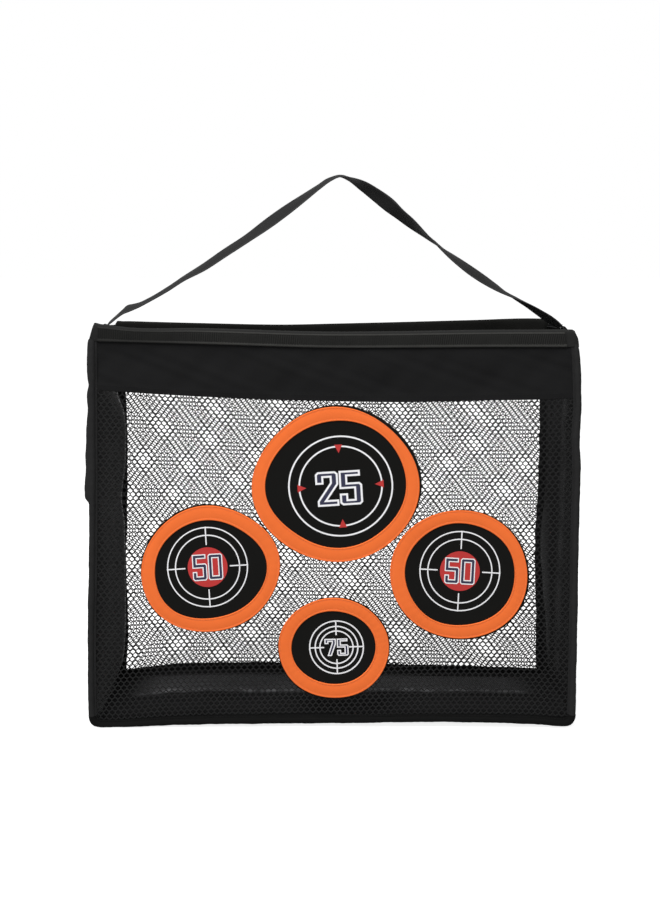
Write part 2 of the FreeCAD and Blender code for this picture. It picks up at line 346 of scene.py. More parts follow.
def loft(rings, ends="strip"):
    """A closed skin over closed rings of points. ends says what shuts it: a strip across
    the ring's two halves, a middle point, or the first ring again ("joined")."""
    count, size = rings.shape[:2]
    last = (count - 1) * size
    along, around = distances(rings, 0), distances(rings, 1)
    i, j = np.divmod(np.arange(count * size if ends == "joined" else last), size)
    quads = np.stack([(i + a) % count * size + (j + b) % size for a, b in quad_steps], 1)
    quad_spots = np.stack([pairs(along[i + a], around[j + b]) for a, b in quad_steps], 1)
    points = rings.reshape(-1, 3)
    tris = np.zeros((0, 3), int)
    tri_spots = np.zeros((0, 3, 2))
    if ends == "strip":
        k = np.arange(size // 2 - 1)
        start = np.stack([k + 1, k, size - 1 - k, size - 2 - k], 1)
        spots = np.stack([pairs(float(edge), around[k]) for edge in (1, 0, 0, 1)], 1)
        quads = np.concatenate([quads, start, start[:, ::-1] + last])
        quad_spots = np.concatenate([quad_spots, spots, spots])
    if ends == "point":
        j = np.arange(size)
        j2 = (j + 1) % size
        centre = 0 * j + len(points)
        points = np.concatenate([points, rings[:1].mean(1), rings[-1:].mean(1)])
        tris = np.concatenate([np.stack([centre, j2, j], 1),
                               np.stack([centre + 1, last + j, last + j2], 1)])
        spots = pairs(np.repeat([0.0, along[count - 1]], size), np.tile(around[:-1], 2))
        tri_spots = np.repeat(spots[:, None], 3, 1)
    return {"points": points, "quads": quads, "quad_spots": quad_spots,
            "tris": tris, "tri_spots": tri_spots}


def add_mesh(name, parts, material, crease_angle=50.0):
    """Joins closed parts into one object, with faces turned outwards and a cloth map."""
    points, faces, spots = [], [], []
    total = 0
    for part in parts:
        corners, quads, tris = part["points"], part["quads"], part["tris"]
        thirds = np.concatenate([quads[:, :3], quads[:, [0, 2, 3]], tris])
        a, b, c = (corners[thirds[:, k]] for k in range(3))
        step = -1 if (a * np.cross(b, c)).sum() < 0 else 1
        for kind in ("quad", "tri"):
            faces += (part[kind + "s"][:, ::step] + total).tolist()
            spots.append(part[kind + "_spots"][:, ::step].reshape(-1, 2))
        points.append(corners)
        total += len(corners)
    mesh = bpy.data.meshes.new(name)
    mesh.from_pydata((np.concatenate(points) * MM).tolist(), [], faces)
    layer = mesh.uv_layers.new(name="cloth")
    layer.data.foreach_set("uv", np.concatenate(spots).astype(np.float32).ravel())
    mesh.shade_smooth()
    mesh.set_sharp_from_angle(angle=math.radians(crease_angle))
    mesh.materials.append(material)
    return add_object(name, mesh)


def attach(piece, body, slot, *nodes):
    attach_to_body(piece, body)
    if nodes:
        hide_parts(*nodes)
    return piece


def section_of(path, thickness):
    """Closed outline of a strip of cloth whose middle follows the path."""
    direction = unit(np.gradient(path, axis=-2))
    normal = pairs(-direction[..., 1], direction[..., 0])
    half = 0.5 * np.broadcast_to(thickness, path.shape[:-1])[..., None]
    return np.concatenate([path + half * normal, (path - half * normal)[..., ::-1, :]], -2)


def strip(placer, seam, path, thickness):
    """Cloth laid along a seam. At each station, path holds (inward, depth)."""
    stations, inward = seam
    section = section_of(path, thickness)
    spots = stations[:, None] + section[..., :1] * inward[:, None]
    return loft(placer(spots[..., 0], spots[..., 1], section[..., 1]))


# A strip's share of its thickness right at its edges, and how far from an edge its path
# has one more step
edge_share = 0.45
edge_step = 0.35


def soft_edge(count):
    """Share of the thickness along a strip's path, thinner right at its two edges."""
    share = np.ones(count)
    share[[0, -1]] = edge_share
    return share


def spaced_with_edges(start, end, count):
    """Even spacing from start to end, with one more step right at each edge."""
    edge = math.copysign(edge_step, end - start)
    return np.concatenate([[start], np.linspace(start + edge, end - edge, count - 2), [end]])


# No sheet is declared with less cloth than this share of its width times length. The nets
# and most of the rings have it, and the nets' strands take up a little more, 0.35
least_cover = 0.3


def sew_cloth(panel, node, kind, slot, finish, seam, path, thickness):
    """A strip of cloth sewn on a panel, as a finished piece."""
    thickness = thickness * soft_edge(path.shape[1])
    piece = add_mesh(f"{node}_{kind}", [strip(panel.place, seam, path, thickness)], finish)
    attach(piece, panel.body, slot, node)


# Stitches: short raised pieces of thread

stitch_pitch = 3.6
stitch_length = 2.7
thread = 0.45
thread_stand = 0.1
# Place along a stitch and thickness there, as shares
stitch_shape = ((-0.5, 0.3), (-0.3, 0.9), (0.0, 1.0), (0.3, 0.9), (0.5, 0.3))


def threads(middles, along, out, length, width):
    """Pieces of thread. along is their direction, out the side they stand on."""
    out = unit(out - (out * along).sum(1, keepdims=True) * along)
    side = np.cross(along, out)
    angle = full_turn(6)[:, None, None]
    round_it = np.cos(angle) * side + np.sin(angle) * out
    rings = [middles + along * place * length + width * fat * 0.5 * round_it
             for place, fat in stitch_shape]
    return [loft(each, "point") for each in np.stack(rings).transpose(2, 0, 1, 3)]


def stitch_row(line, out, width=thread):
    """Stitches along a line of points."""
    gone = gone_along(line)
    at = np.arange(0.5 * stitch_pitch, gone[-1] - 0.4 * stitch_pitch, stitch_pitch)
    middles = np.stack([np.interp(at, gone, line[:, k]) for k in range(3)], 1)
    along = unit(np.gradient(middles, axis=0))
    out = np.broadcast_to(np.array(out, float), middles.shape)
    return threads(middles, along, out, stitch_length, width)


def sew(name, body, slot, rows, finish):
    """Rows of stitches as one piece."""
    parts = [stitch for row in rows for stitch in row]
    return attach(add_mesh(name + "_stitches", parts, finish), body, slot)


def sew_along(panel, node, slot, seam, inset, stand):
    """A row of stitches on each side of a strip, the given inset from its seam."""
    spots = seam[0] + inset * seam[1]
    rows = [stitch_row(panel.place(*spots.T, side * (stand + thread_stand)), (0, side, 0))
            for side in (-1, 1)]
    sew(node, panel.body, slot, rows, black_thread)


# Materials


def add_node(tree, kind, links=None, **settings):
    """A new node. links gives its inputs each a plain value or another node's output."""
    made = tree.nodes.new(kind)
    for key, value in settings.items():
        setattr(made, key, value)
    for socket, source in (links or {}).items():
        source = source.socket if isinstance(source, Field) else source
        if isinstance(source, (int, float, tuple)):
            made.inputs[socket].default_value = source
        else:
            tree.links.new(source, made.inputs[socket])
    return made


class Field:
    """A number that nodes work out for each point of a surface."""

    def __init__(self, tree, socket):
        self.tree = tree
        self.socket = socket

    def math(self, operation, *others):
        links = dict(enumerate((self, *others)))
        made = add_node(self.tree, "ShaderNodeMath", links, operation=operation)
        return Field(self.tree, made.outputs[0])

    def __add__(self, other):
        return self.math("ADD", other)

    def __sub__(self, other):
        return self.math("SUBTRACT", other)

    def __mul__(self, other):
        return self.math("MULTIPLY", other)

    def __abs__(self):
        return self.math("ABSOLUTE")

    def ramp(self, start, end, low, high):
        """The value carried over from the range start to end into the range low to high."""
        links = {"Value": self, "From Min": start, "From Max": end, "To Min": low, "To Max": high}
        return Field(self.tree, add_node(self.tree, "ShaderNodeMapRange", links).outputs[0])


class Finish:
    """A material under construction, with its shader and short ways to add nodes."""

    def __init__(self, name, roughness, specular=0.5, metallic=0.0, sheen=0.0):
        self.material = bpy.data.materials.new(name)
        self.material.use_nodes = True
        self.tree = self.material.node_tree
        self.shader = self.tree.nodes["Principled BSDF"]
        for socket, value in (("Roughness", roughness), ("Specular IOR Level", specular),
                              ("Metallic", metallic), ("Sheen Weight", sheen)):
            self.shader.inputs[socket].default_value = value

    def split(self, source):
        outputs = add_node(self.tree, "ShaderNodeSeparateXYZ", {0: source}).outputs
        return [Field(self.tree, output) for output in outputs]

    def place(self):
        """The place x, y, z on the object, in metres."""
        return self.split(add_node(self.tree, "ShaderNodeTexCoord").outputs["Object"])

    def cloth(self, pitch_u, pitch_v):
        """The place u, v on the cloth, counted in repeats of the given sizes."""
        spot = add_node(self.tree, "ShaderNodeUVMap", uv_map="cloth").outputs[0]
        links = {0: spot, 1: (1 / pitch_u, 1 / pitch_v, 0.0)}
        scaled = add_node(self.tree, "ShaderNodeVectorMath", links, operation="MULTIPLY")
        return self.split(scaled.outputs[0])[:2]

    def ripples(self, pitch_u, pitch_v):
        """Waves from -1 to 1 along u and along v."""
        return [(place * math.tau).math("SINE") for place in self.cloth(pitch_u, pitch_v)]

    def noise(self, size, detail=2.0):
        """Uneven values over the object, at the given size in millimetres."""
        spot = add_node(self.tree, "ShaderNodeTexCoord").outputs["Object"]
        links = {"Vector": spot, "Scale": 1.0 / (size * MM), "Detail": detail}
        return Field(self.tree, add_node(self.tree, "ShaderNodeTexNoise", links).outputs["Fac"])

    def weave_and_dye(self, pitch):
        """Height of a plain weave, uneven dye and fine fibres, each from 0 to 1."""
        u, v = self.ripples(pitch, pitch)
        return u * v * 0.5 + 0.5, self.noise(38.0, 4.0), self.noise(0.5, 1.0)

    def done(self, colour, share, tints, grain, roughness, height, depth):
        """Links the shader up and returns the material. By a share from 0 to 1 it mixes two
        tints of the colour, and by the grain two roughnesses. depth is that of the height."""
        ramp = add_node(self.tree, "ShaderNodeValToRGB", {"Fac": share})
        for element, tint in zip(ramp.color_ramp.elements, tints):
            element.color = (*(value * tint for value in colour), 1.0)
        links = {"Height": height, "Distance": depth * MM, "Strength": 1.0}
        bump = add_node(self.tree, "ShaderNodeBump", links)
        rough = grain.ramp(0.0, 1.0, *roughness)
        for socket, source in (("Base Color", ramp.outputs["Color"]), ("Roughness", rough.socket),
                               ("Normal", bump.outputs["Normal"])):
            self.tree.links.new(source, self.shader.inputs[socket])
        return self.material


cloth_roughness = (0.74, 0.95)
weave_depth = 0.08
weave_pitch = 0.9


def woven(name, colour, pitch=weave_pitch, unevenness=0.25, specular=0.06):
    """Plain-woven cloth with softly uneven dye and fine fibres."""
    finish = Finish(name, 0.85, specular)
    height, patches, fibres = finish.weave_and_dye(pitch)
    mixed = height * 0.35 + patches * 0.45 + fibres * 0.2
    return finish.done(colour, mixed, (1 - unevenness, 1 + unevenness), patches, cloth_roughness,
                       fibres * 0.3 + height, weave_depth)


# In metres. The crease's paler line, partly a painted highlight, and the rear half's painted
# sheen end towards a lower corner, by the first or the second. Their painted shade beside
# the front panel fades by depth, and the painted sheen starts behind the middle. The fold
# near the back has a painted highlight from low down to mid height, which fades away from
# the fold's ridge
corner_sideways = (0.235, 0.272)
corner_upwards = (0.03, 0.05)
painted_sheen_starts = (0.0, 0.008)
shade_ends = ((front_y + 3.0) * MM, (front_y + 33.0) * MM)
highlight_starts = (0.02, 0.06)
highlight_ends = (0.18, 0.27)
highlight_fades = (0.004, 0.017)
# The same fold's place, in millimetres
rear_fold_depth = 46.0


def creased(name, colour, crease, worn, painted_rear_sheen=0.0, shade=0.0, sheen=0.0, crest_highlight=0.0):
    """Woven gusset cloth. Its pressed crease, where the cloth's v is 0, is worn paler to the
    width given, partly scuffs and partly a painted highlight on the crease's ridge. The rear
    half is painted paler by the amount given after worn, a painted sheen of light at a grazing
    angle. Neither reaches into the lower corners. shade is how much darker the cloth is painted
    right beside the front panel, a painted shade, and the last amount how much paler the lower
    part of the fold near the back is painted, a painted highlight."""
    finish = Finish(name, 0.85, 0.04, sheen=sheen)
    height, patches, fibres = finish.weave_and_dye(weave_pitch)
    x, y, z = finish.place()
    clear = abs(x).ramp(*corner_sideways, 1.0, 0.0).math("MAXIMUM", z.ramp(*corner_upwards, 0.0, 1.0))
    # The crease's paler line is partly scuffed wear and partly a painted highlight on the crease's ridge
    line = abs(finish.cloth(1.0, 1.0)[1]).ramp(0.35 * crease, crease, 1.0, 0.0) * clear
    scuffs = finish.noise(2.0 * crease, 3.0).ramp(0.4, 0.6, 0.35, 1.0)
    # Painted sheen: the rear half is painted paler where light at a grazing angle would sheen on it
    behind = y.ramp(*painted_sheen_starts, 0.0, 1.0) * clear
    # Painted shade: the cloth is painted darker right beside the front panel
    beside = y.ramp(*shade_ends, shade, 0.0)
    # Painted highlight along the fold near the back, from low down to mid height
    pale = abs(y - rear_fold_depth * MM).ramp(*highlight_fades, crest_highlight, 0.0)
    pale = pale * z.ramp(*highlight_starts, 0.0, 1.0) * z.ramp(*highlight_ends, 1.0, 0.0)
    mixed = height * 0.18 + patches * 0.22 + fibres * 0.1 + 0.75
    mixed = mixed + line * scuffs * worn + behind * painted_rear_sheen - beside + pale
    whole = 1.25 + worn + painted_rear_sheen + crest_highlight
    return finish.done(colour, mixed * (1 / whole), (0.0, whole), patches, cloth_roughness,
                       fibres * 0.3 + height, weave_depth)


def knitted(name, colour):
    """Twisted yarn."""
    finish = Finish(name, 0.7, 0.1)
    strands = finish.noise(0.35)
    return finish.done(colour, strands, (0.6, 1.4), strands, (0.6, 0.85), strands, 0.1)


# In metres, where the darker left end of a tape ends
left_darker_ends = (-0.23, -0.15)


def ribbed(name, colour, pitch_u, pitch_v, width, edge, specular, left_darker=0.0):
    """Tape or webbing with ribs across it, which repeat along u, and with plain paler edges. Its
    ribs' grooves are painted darker, a painted shade. width is that of the whole and edge that
    of a plain edge. The last amount is how much darker its left end is."""
    finish = Finish(name, 0.65, specular)
    u, v = finish.ripples(pitch_u, pitch_v)
    yarn = u * 0.5 + 0.5 + v * 0.2
    worn = finish.noise(24.0, 4.0)
    clear = finish.noise(45.0, 1.0).ramp(0.42, 0.6, 0.2, 1.5)
    away = abs(finish.cloth(1.0, width + 0.4)[1].math("FRACT") - 0.5)
    reach = (0.5 - (edge + 0.3) / width, 0.5 - (edge - 0.3) / width)
    # Painted shade: the colour is darker in the ribs' grooves, as light from above hardly shades the upright
    # ribs by their relief
    ribs = (yarn - 0.6) * clear * away.ramp(*reach, 1.0, 0.0)
    mixed = ribs * 0.45 + worn * 0.3 + away.ramp(*reach, 0.0, 0.6) + 0.08
    mixed = mixed * finish.place()[X].ramp(*left_darker_ends, 1 - left_darker, 1.0)
    return finish.done(colour, mixed, (0.25, 2.8), worn, (0.55, 0.8), yarn, 0.15)


def ink(name, colour):
    """Print on woven cloth. The weave shows through it."""
    finish = Finish(name, 0.6, 0.3)
    grain = finish.noise(0.6)
    mixed = grain * 0.5 + finish.noise(9.0) * 0.5
    return finish.done(colour, mixed, (0.86, 1.06), grain, (0.5, 0.75), grain, 0.06)


def metal(name, colour, roughness):
    """Drawn or pressed metal with fine marks."""
    finish = Finish(name, roughness, metallic=1.0)
    marks = finish.noise(1.2, 4.0)
    return finish.done(colour, marks, (0.8, 1.1), marks, (roughness, roughness + 0.2), marks, 0.02)


header_finish = woven("header_cloth", (0.0094, 0.0094, 0.0097))
# The rim's fold cloth comes in two copies: the front one is painted lighter, a painted highlight on its
# crown, and the back one darker, a painted shade on the back rim's inner side
lit_fold_finish = woven("front_fold_cloth", (0.0185, 0.0185, 0.0180))
shaded_fold_finish = woven("back_fold_cloth", (0.0095, 0.0095, 0.0088), specular=0.04)
# The sleeve cloth comes in two copies: the lighter one, on every sleeve but the front's bottom, is painted
# light for light that falls from the sides, and the front bottom sleeve's darker one is painted shade for
# its underside
lit_sleeve_finish = woven("sleeve_cloth", (0.0185, 0.0185, 0.0187))
shaded_low_sleeve_finish = woven("low_sleeve_cloth_painted_shade", (0.0045, 0.0045, 0.0044))
# The gussets are one cloth: the left copy is painted lighter, painted light, and the right copy darker,
# painted shade. In each, the crease's paler line is partly a painted highlight
left_gusset_finish = creased("left_gusset_cloth", (0.020, 0.020, 0.0203), 2.8, 14.0, shade=0.6, sheen=0.17)
right_gusset_finish = creased("right_gusset_cloth", (0.0165, 0.0165, 0.0168), 19.0, 2.4, shade=0.6,
                              crest_highlight=4.0)
base_finish = creased("base_cloth", (0.009, 0.009, 0.0093), 7.5, 17.0, painted_rear_sheen=6.3, shade=0.9, sheen=0.035)
hem_finish = woven("hem_cloth", (0.0085, 0.0085, 0.0087))
net_finish = knitted("net_yarn", (0.011, 0.011, 0.0112))
tape_finish = ribbed("ribbed_tape", (0.0135, 0.0135, 0.0126), 2.3, 0.8, 17.0, 2.7, 0.1, left_darker=0.5)
disc_finish = woven("disc_cloth", (0.0062, 0.0061, 0.0056), 0.8)
orange_finish = woven("orange_cloth", (0.85, 0.168, 0.038), 0.8, unevenness=0.1)
webbing_finish = ribbed("strap_webbing", (0.0105, 0.0105, 0.0107), 1.6, 1.1, 20.0, 1.6, 0.16)
black_thread = knitted("black_thread", (0.010, 0.010, 0.0103))
pale_thread = knitted("pale_thread", (0.11, 0.11, 0.105))
orange_thread = knitted("orange_thread", (0.80, 0.20, 0.07))
white_ink = ink("white_ink", (0.86, 0.86, 0.88))
red_ink = ink("red_ink", (0.47, 0.03, 0.028))
navy_ink = ink("navy_ink", (0.020, 0.021, 0.050))
steel_finish = metal("spring_steel", (0.42, 0.42, 0.43), 0.35)
ferrule_finish = metal("ferrule_metal", (0.6, 0.58, 0.54), 0.3)
rivet_finish = metal("rivet_metal", (0.55, 0.55, 0.55), 0.28)


# Nets

net_pitch = 7.5
net_row = 4.95
strand_width = 1.26
strand_depth = 0.4
upright_strand = 2.0
net_tuck = 4.0
net_behind_header = 6.0
net_crease_angle = 20.0
# Rows and columns laid out past each edge, for the net is out of square
spare = 6
net_reach = 300.0

# How far the nets are out of square, in millimetres along x and then along z. Each row is
# evenly, then growing with the width u, the height v, u squared, u times v and v squared
front_askew = ((3.0, 1.5, 4.5, 0.1, 1.4, 1.1), (0.1, 5.3, 1.6, 0.3, 2.2, -0.8))
back_askew = ((-3.6, 0.4, -4.3, 1.7, -3.1, -3.3), (-0.7, -8.9, -3.4, 1.5, -3.2, 0.9))


def net_part(panel, reach_x, low, high, askew):
    """A net of six-sided gaps, every other row set over by half. Each gap has a knot over
    it, from which a strand leads up, and one under it, from which a strand leads down."""
    columns = int(2 * reach_x / net_pitch) + 2 * spare
    rows = int((high - low) / net_row) + 2 * spare
    slope = math.atan2(net_row - upright_strand, 0.5 * net_pitch)
    side_x = 0.5 * strand_width
    side_z = side_x * math.tan(0.25 * math.pi - 0.5 * slope)
    tip_z = side_x / math.cos(slope)
    row, column = np.indices((rows, columns))
    u = (column + 0.5 * (row % 2) - 0.5 * (columns - 0.5)) * net_pitch
    v = (row - 0.5 * (rows - 1)) * net_row

    def sewn(u, v):
        """Where the net's own place u, v is on the panel."""
        a, b = u / net_reach, v / net_reach
        shift_x, shift_z = np.tensordot(askew, np.stack([a ** 0, a, b, a * a, a * b, b * b]), 1)
        return u + shift_x, 0.5 * (low + high) + v + shift_z

    x, z = sewn(u, v)
    # The lower corners are cut round, as the hoop bends there
    from_corner = np.hypot(np.maximum(np.abs(x) - binding_x, 0),
                           np.maximum(hoop_low + corner_radius - z, 0))
    kept = (from_corner < corner_radius - 0.5 * sleeve_radius) & (np.abs(x) < reach_x)
    kept = kept & (z > low) & (z < high)

    flat = []
    for up in (1, -1):
        knot_x, knot_z = sewn(u, v + up * (net_row - 0.5 * upright_strand))
        knot = [pairs(knot_x + side * side_x, knot_z + up * side_z) for side in (-1, 1)]
        knot.append(pairs(knot_x, knot_z - up * tip_z))
        flat.append(np.stack(knot, 2).reshape(-1, 2))
    flat = np.concatenate(flat)
    layer = len(flat)
    points = np.concatenate([panel.place(*flat.T, 0.5 * side * strand_depth) for side in (-1, 1)])
    spots = np.concatenate([flat, flat])

    r, c = row[kept], column[kept]
    left, right, tip = range(3)
    tris, quads = [], []

    def over(corner, rr=r, cc=c):
        return (rr * columns + cc) * 3 + corner

    def under(corner, rr=r, cc=c):
        return 3 * rows * columns + over(corner, rr, cc)

    def wall(a, b):
        quads.append(np.stack([a, b, b + layer, a + layer], 1))

    def add_strand(a, b, c, d, real):
        """A strand with front corners a, b, c, d. Where none is real, a wall from a to b."""
        wall(a[~real], b[~real])
        a, b, c, d = (corner[real] for corner in (a, b, c, d))
        quads.append(np.stack([a, b, c, d], 1))
        quads.append(np.stack([d, c, b, a], 1) + layer)
        wall(c, b)
        wall(a, d)

    for knot in ((over(left), over(tip), over(right)), (under(left), under(right), under(tip))):
        face = np.stack(knot, 1)
        tris += [face, face[:, ::-1] + layer]
    to_left = c + r % 2 - 1
    to_right = to_left + 1
    for start, turn, rows_up, beside, end, back_turn in (
            (left, right, 2, c, right, left),
            (tip, left, 1, to_left, tip, right),
            (right, tip, 1, to_right, left, tip)):
        there = (r + rows_up, beside)
        add_strand(over(start), over(turn), under(end, *there), under(back_turn, *there), kept[there])
    for start, end, rows_down, beside in (
            (right, left, 2, c), (left, tip, 1, to_left), (tip, right, 1, to_right)):
        bare = ~kept[r - rows_down, beside]
        wall(under(start)[bare], under(end)[bare])

    quads, tris = np.concatenate(quads), np.concatenate(tris)
    used, number = np.unique(np.concatenate([quads.ravel(), tris.ravel()]), return_inverse=True)
    return {"points": points[used],
            "quads": number[:quads.size].reshape(-1, 4), "quad_spots": spots[quads],
            "tris": number[quads.size:].reshape(-1, 3), "tri_spots": spots[tris]}


def make_net(panel, edge_x, low, askew):
    node = panel.name + "_net"
    part = net_part(panel, edge_x + net_tuck, low - net_tuck, header_z + net_behind_header, askew)
    piece = add_mesh(node + "_mesh", [part], net_finish, net_crease_angle)
    attach(piece, panel.body, "black_mesh", node)
    width, length = 2 * edge_x * MM, (header_z - low) * MM
    least_cover * width * length


# Headers

header_thickness = 1.0
header_hem = 9.0
header_hem_extra = 0.8
header_hem_fade = 0.5
header_stitch_stand = 0.9
header_tuck = 8.0
header_side_tuck = 1.0
header_stitches = (1.8, 7.4)


def header_depth(x, height, seed):
    """How far the header's slack takes it off its panel. It is held at both edges."""
    loose = np.sin(math.pi * np.clip(height / (binding_z - header_z), 0, 1)) ** 0.7
    slack = 2.0 * waves(x + 0.8 * height, 0.9 * height - 0.3 * x, 120.0, seed)
    return loose * (slack + 0.6 * waves(x, height * 1.3, 34.0, seed + 1))


def make_header(panel, seed):
    node = panel.name + "_header"
    reach = inner_x + header_side_tuck
    seam = level_seam(-reach, reach, header_z, seam_step)
    x = seam[0][:, X]
    height = spaced_with_edges(0.0, binding_z + header_tuck - header_z, 40)
    path = pairs(height, header_depth(x[:, None], height, seed))
    hem = 1 + header_hem_extra / (1 + np.exp((height - header_hem) / header_hem_fade))
    sew_cloth(panel, node, "cloth", "black_fabric", header_finish, seam, path, header_thickness * hem)
    rows = []
    for height in header_stitches:
        for side in (-1, 1):
            depth = header_depth(x, height, seed) + side * header_stitch_stand * header_thickness
            rows.append(stitch_row(panel.place(x, header_z + height, depth), (0, side, 0)))
    sew(node, panel.body, "black_fabric", rows, black_thread)


# Bindings over the rims: cloth folded over the hoop, and a ribbed tape on its outer side

fold_cloth = 0.8
tape_thickness = 0.8
crown_radius = 3.2
lip_depth = 1.7
lip_height = 14.0
rib_pitch = 2.3
rib_height = 0.35
tape_left, tape_right = -293.5, 289.0
tape_width = 17.0
lower_bead, lower_groove = 1.4, 3.2
upper_bead, upper_groove = 15.6, 14.2
# The tape's beads and grooves: height, width and how much thicker the tape is there
tape_relief = ((lower_bead, 1.0, 0.8), (upper_bead, 0.8, 0.7),
               (lower_groove, 0.5, -0.3), (upper_groove, 0.5, -0.3))
fold_step = 2.0
fold_end_gap = 0.5
dent_x, dent_depth, dent_width = 293.0, 1.5, 3.0

# The ribs are pressed flat over the binding's left part
rib_clarity = smooth((-300, 0.0), (-215, 0.1), (-195, 0.8), (-100, 0.5), (0, 1.0), (110, 0.4), (200, 1.0),
                     (270, 0.8), (300, 0.5))
# Share of its full height that a binding has near its two ends
left_corner_share = smooth((-304.5, 0.12), (-303.6, 0.28), (-302.6, 0.45), (-301.4, 0.63), (-300.3, 0.8),
                           (-299, 0.95), (-297.4, 1.02), (-295, 1.0), (-280, 1.0))
right_corner_share = smooth((280, 1.0), (297, 1.0), (300.5, 0.99), (302.5, 0.93), (303.7, 0.78),
                            (304.5, 0.55))


def lip(height):
    """How far a binding's side stands off the panel's middle."""
    return lip_depth + (crown_radius - lip_depth) * np.clip(height / lip_height, 0, 1) ** 0.8


def make_binding(panel, seed):
    node, outer = panel.name + "_top_binding", panel.outer
    straight = rim_z - binding_z - crown_radius - 0.5 * fold_cloth
    leg = np.concatenate([[0, edge_step, 1.0], np.linspace(2.0, straight, 8)])
    angle = np.linspace(0, math.pi, 11)[1:-1]
    height = np.concatenate([leg, straight + crown_radius * np.sin(angle), leg[::-1]])
    depth = np.concatenate([-lip(leg), -crown_radius * np.cos(angle), lip(leg[::-1])])

    def laid(x, height, depth):
        share = np.minimum(left_corner_share(x), right_corner_share(x))
        ripple = 0.5 * waves(x, 0, 46.0, seed) + 0.25 * waves(x, 0, 17.0, seed + 1)
        ripple = ripple - outer * dent_depth * bell(x, dent_x, dent_width)
        ripple = ripple * np.sin(0.04 * math.pi * height)
        return pairs(height * share, depth * (0.3 + 0.7 * share) + ripple)

    reach = half_width - fold_end_gap
    seam = level_seam(-reach, reach, binding_z, fold_step)
    # The front fold takes the copy with painted light, the back fold the copy with painted shade
    finish = lit_fold_finish if panel is front else shaded_fold_finish
    path = laid(seam[0][:, :1], height, depth)
    sew_cloth(panel, node, "fold", "black_fabric", finish, seam, path, fold_cloth)

    seam = level_seam(tape_left, tape_right, binding_z, 0.25 * rib_pitch)
    x = seam[0][:, :1]
    height = np.concatenate([[0, edge_step, 0.8, lower_bead, 2.1, 2.7, lower_groove, 3.7, 4.4],
                             np.linspace(5.4, 12.8, 6),
                             [13.7, upper_groove, 14.8, upper_bead, 16.3],
                             [tape_width - edge_step, tape_width]])
    path = laid(x, height, outer * (lip(height) + 0.5 * (fold_cloth + tape_thickness)))
    ribs = rib_clarity(x) * (0.5 + 0.5 * np.sin(math.tau * (x - tape_left) / rib_pitch))
    zone = np.clip((height - lower_groove) / 0.8, 0, 1) * np.clip((upper_groove - height) / 0.8, 0, 1)
    thickness = tape_thickness + rib_height * ribs * zone
    for place, width, more in tape_relief:
        thickness = thickness + more * bell(height, place, width)
    sew_cloth(panel, node, "tape", "ribbed_binding", tape_finish, seam, path, thickness)
    stand = outer * (lip(lower_groove) + 0.5 * fold_cloth + tape_thickness)
    rows = []
    for groove in (lower_groove, upper_groove):
        up, off = laid(x[:, 0], groove, stand).T
        rows.append(stitch_row(panel.place(x[:, 0], binding_z + up, off), (0, outer, 0)))
    sew(node, panel.body, "ribbed_binding", rows, black_thread)


# Sleeves round the hoops

sleeve_cloth = 0.6
sleeve_tube = 4.0
# The tube's middle is this far outside the hoop's. It is open inwards, by this many
# degrees to each side, and a little deeper than wide
tube_outside = 1.0
tube_opening = 16
tube_deeper = 1.12
sleeve_ruck = 0.0375
fin_depth = 0.95
fin_reach = 5.2
fin_seam = 4.2
sleeve_step = 2.5
# The top of the straight part of a side, and how a sleeve narrows below it to be tucked
# under the binding
top_run = run_at_height(hoop_high - corner_radius)
tuck_length = 16.0
tuck_narrow = 0.6

# How far the front left sleeve's cloth stands off the wire, by height
sleeve_slack = smooth((268, 0), (274, 0.3), (279, 4.4), (286, 5.3), (300, 5.4), (315, 4.1), (329, 4.8),
                      (344, 4.2), (358, 4.0), (373, 2.8), (387, 1.3), (402, 2.8), (410, 2.0),
                      (417, 0.3), (425, 0.9), (434, 1.6), (451, 2.2), (468, 2.0), (485, 2.2))


def no_bulge(*place):
    return 0.0


def front_left_bulge(run):
    return sleeve_slack(np.abs(run) - run_at_height(0.0))


def corner_bulge(run):
    """The cloth at the front's lower corners is fuller than the wire's bend."""
    return 0.8 * bell(run, corner_middle, 5.5) + 2.0 * bell(run, -corner_middle, 7.0)


def sleeve_path(run, seed, bulge):
    """The wrap of a sleeve: from its front edge round the wire and back to its rear edge.
    bulge moves its outer side out, by the run."""
    angle = np.radians(np.linspace(tube_opening, 360 - tube_opening, 23))
    cos, sin = np.cos(angle), np.sin(angle)
    tucked = np.clip((top_run - np.abs(run)) / tuck_length, 0, 1) ** 0.5
    loose = 1 + 0.1 * waves(run, 3.0 * cos, 60.0, seed) + 0.05 * waves(run, 9 * sin, 13.0, seed + 1)
    radius = sleeve_tube * loose * (tuck_narrow + (1 - tuck_narrow) * tucked)
    tube_a = radius * cos - tube_outside - bulge(run) * np.clip(-cos, 0, 1)
    ruck = sleeve_ruck * waves(run, 0, 11.0, seed + 2)
    fin_a = np.array([fin_reach, fin_reach - edge_step, 0.5 * (fin_reach + 3.0)]) + ruck
    fin_d = 0 * fin_a - fin_depth - ruck
    return pairs(np.concatenate([fin_a, tube_a, fin_a[:, ::-1]], 1),
                 np.concatenate([fin_d, -tube_deeper * radius * sin, -fin_d[:, ::-1]], 1))


def make_sleeve(panel, side, first, last, seed, finish, bulge=no_bulge):
    node = f"{panel.name}_{side}_sleeve"
    run = np.arange(first, last + 0.5 * sleeve_step, sleeve_step)
    seam = hoop_seam(run)
    path = sleeve_path(run[:, None], seed, bulge)
    sew_cloth(panel, node, "cloth", "sleeve_fabric", finish, seam, path, sleeve_cloth)
    sew_along(panel, node, "sleeve_fabric", seam, fin_seam, fin_depth + 0.5 * sleeve_cloth)


# Wires and ferrules

wire_gap = 0.5
wire_step = 3.0
ferrule_length = highest("front_wire_ferrule", X)
ferrule_wall = 0.9
ferrule_play = 0.05


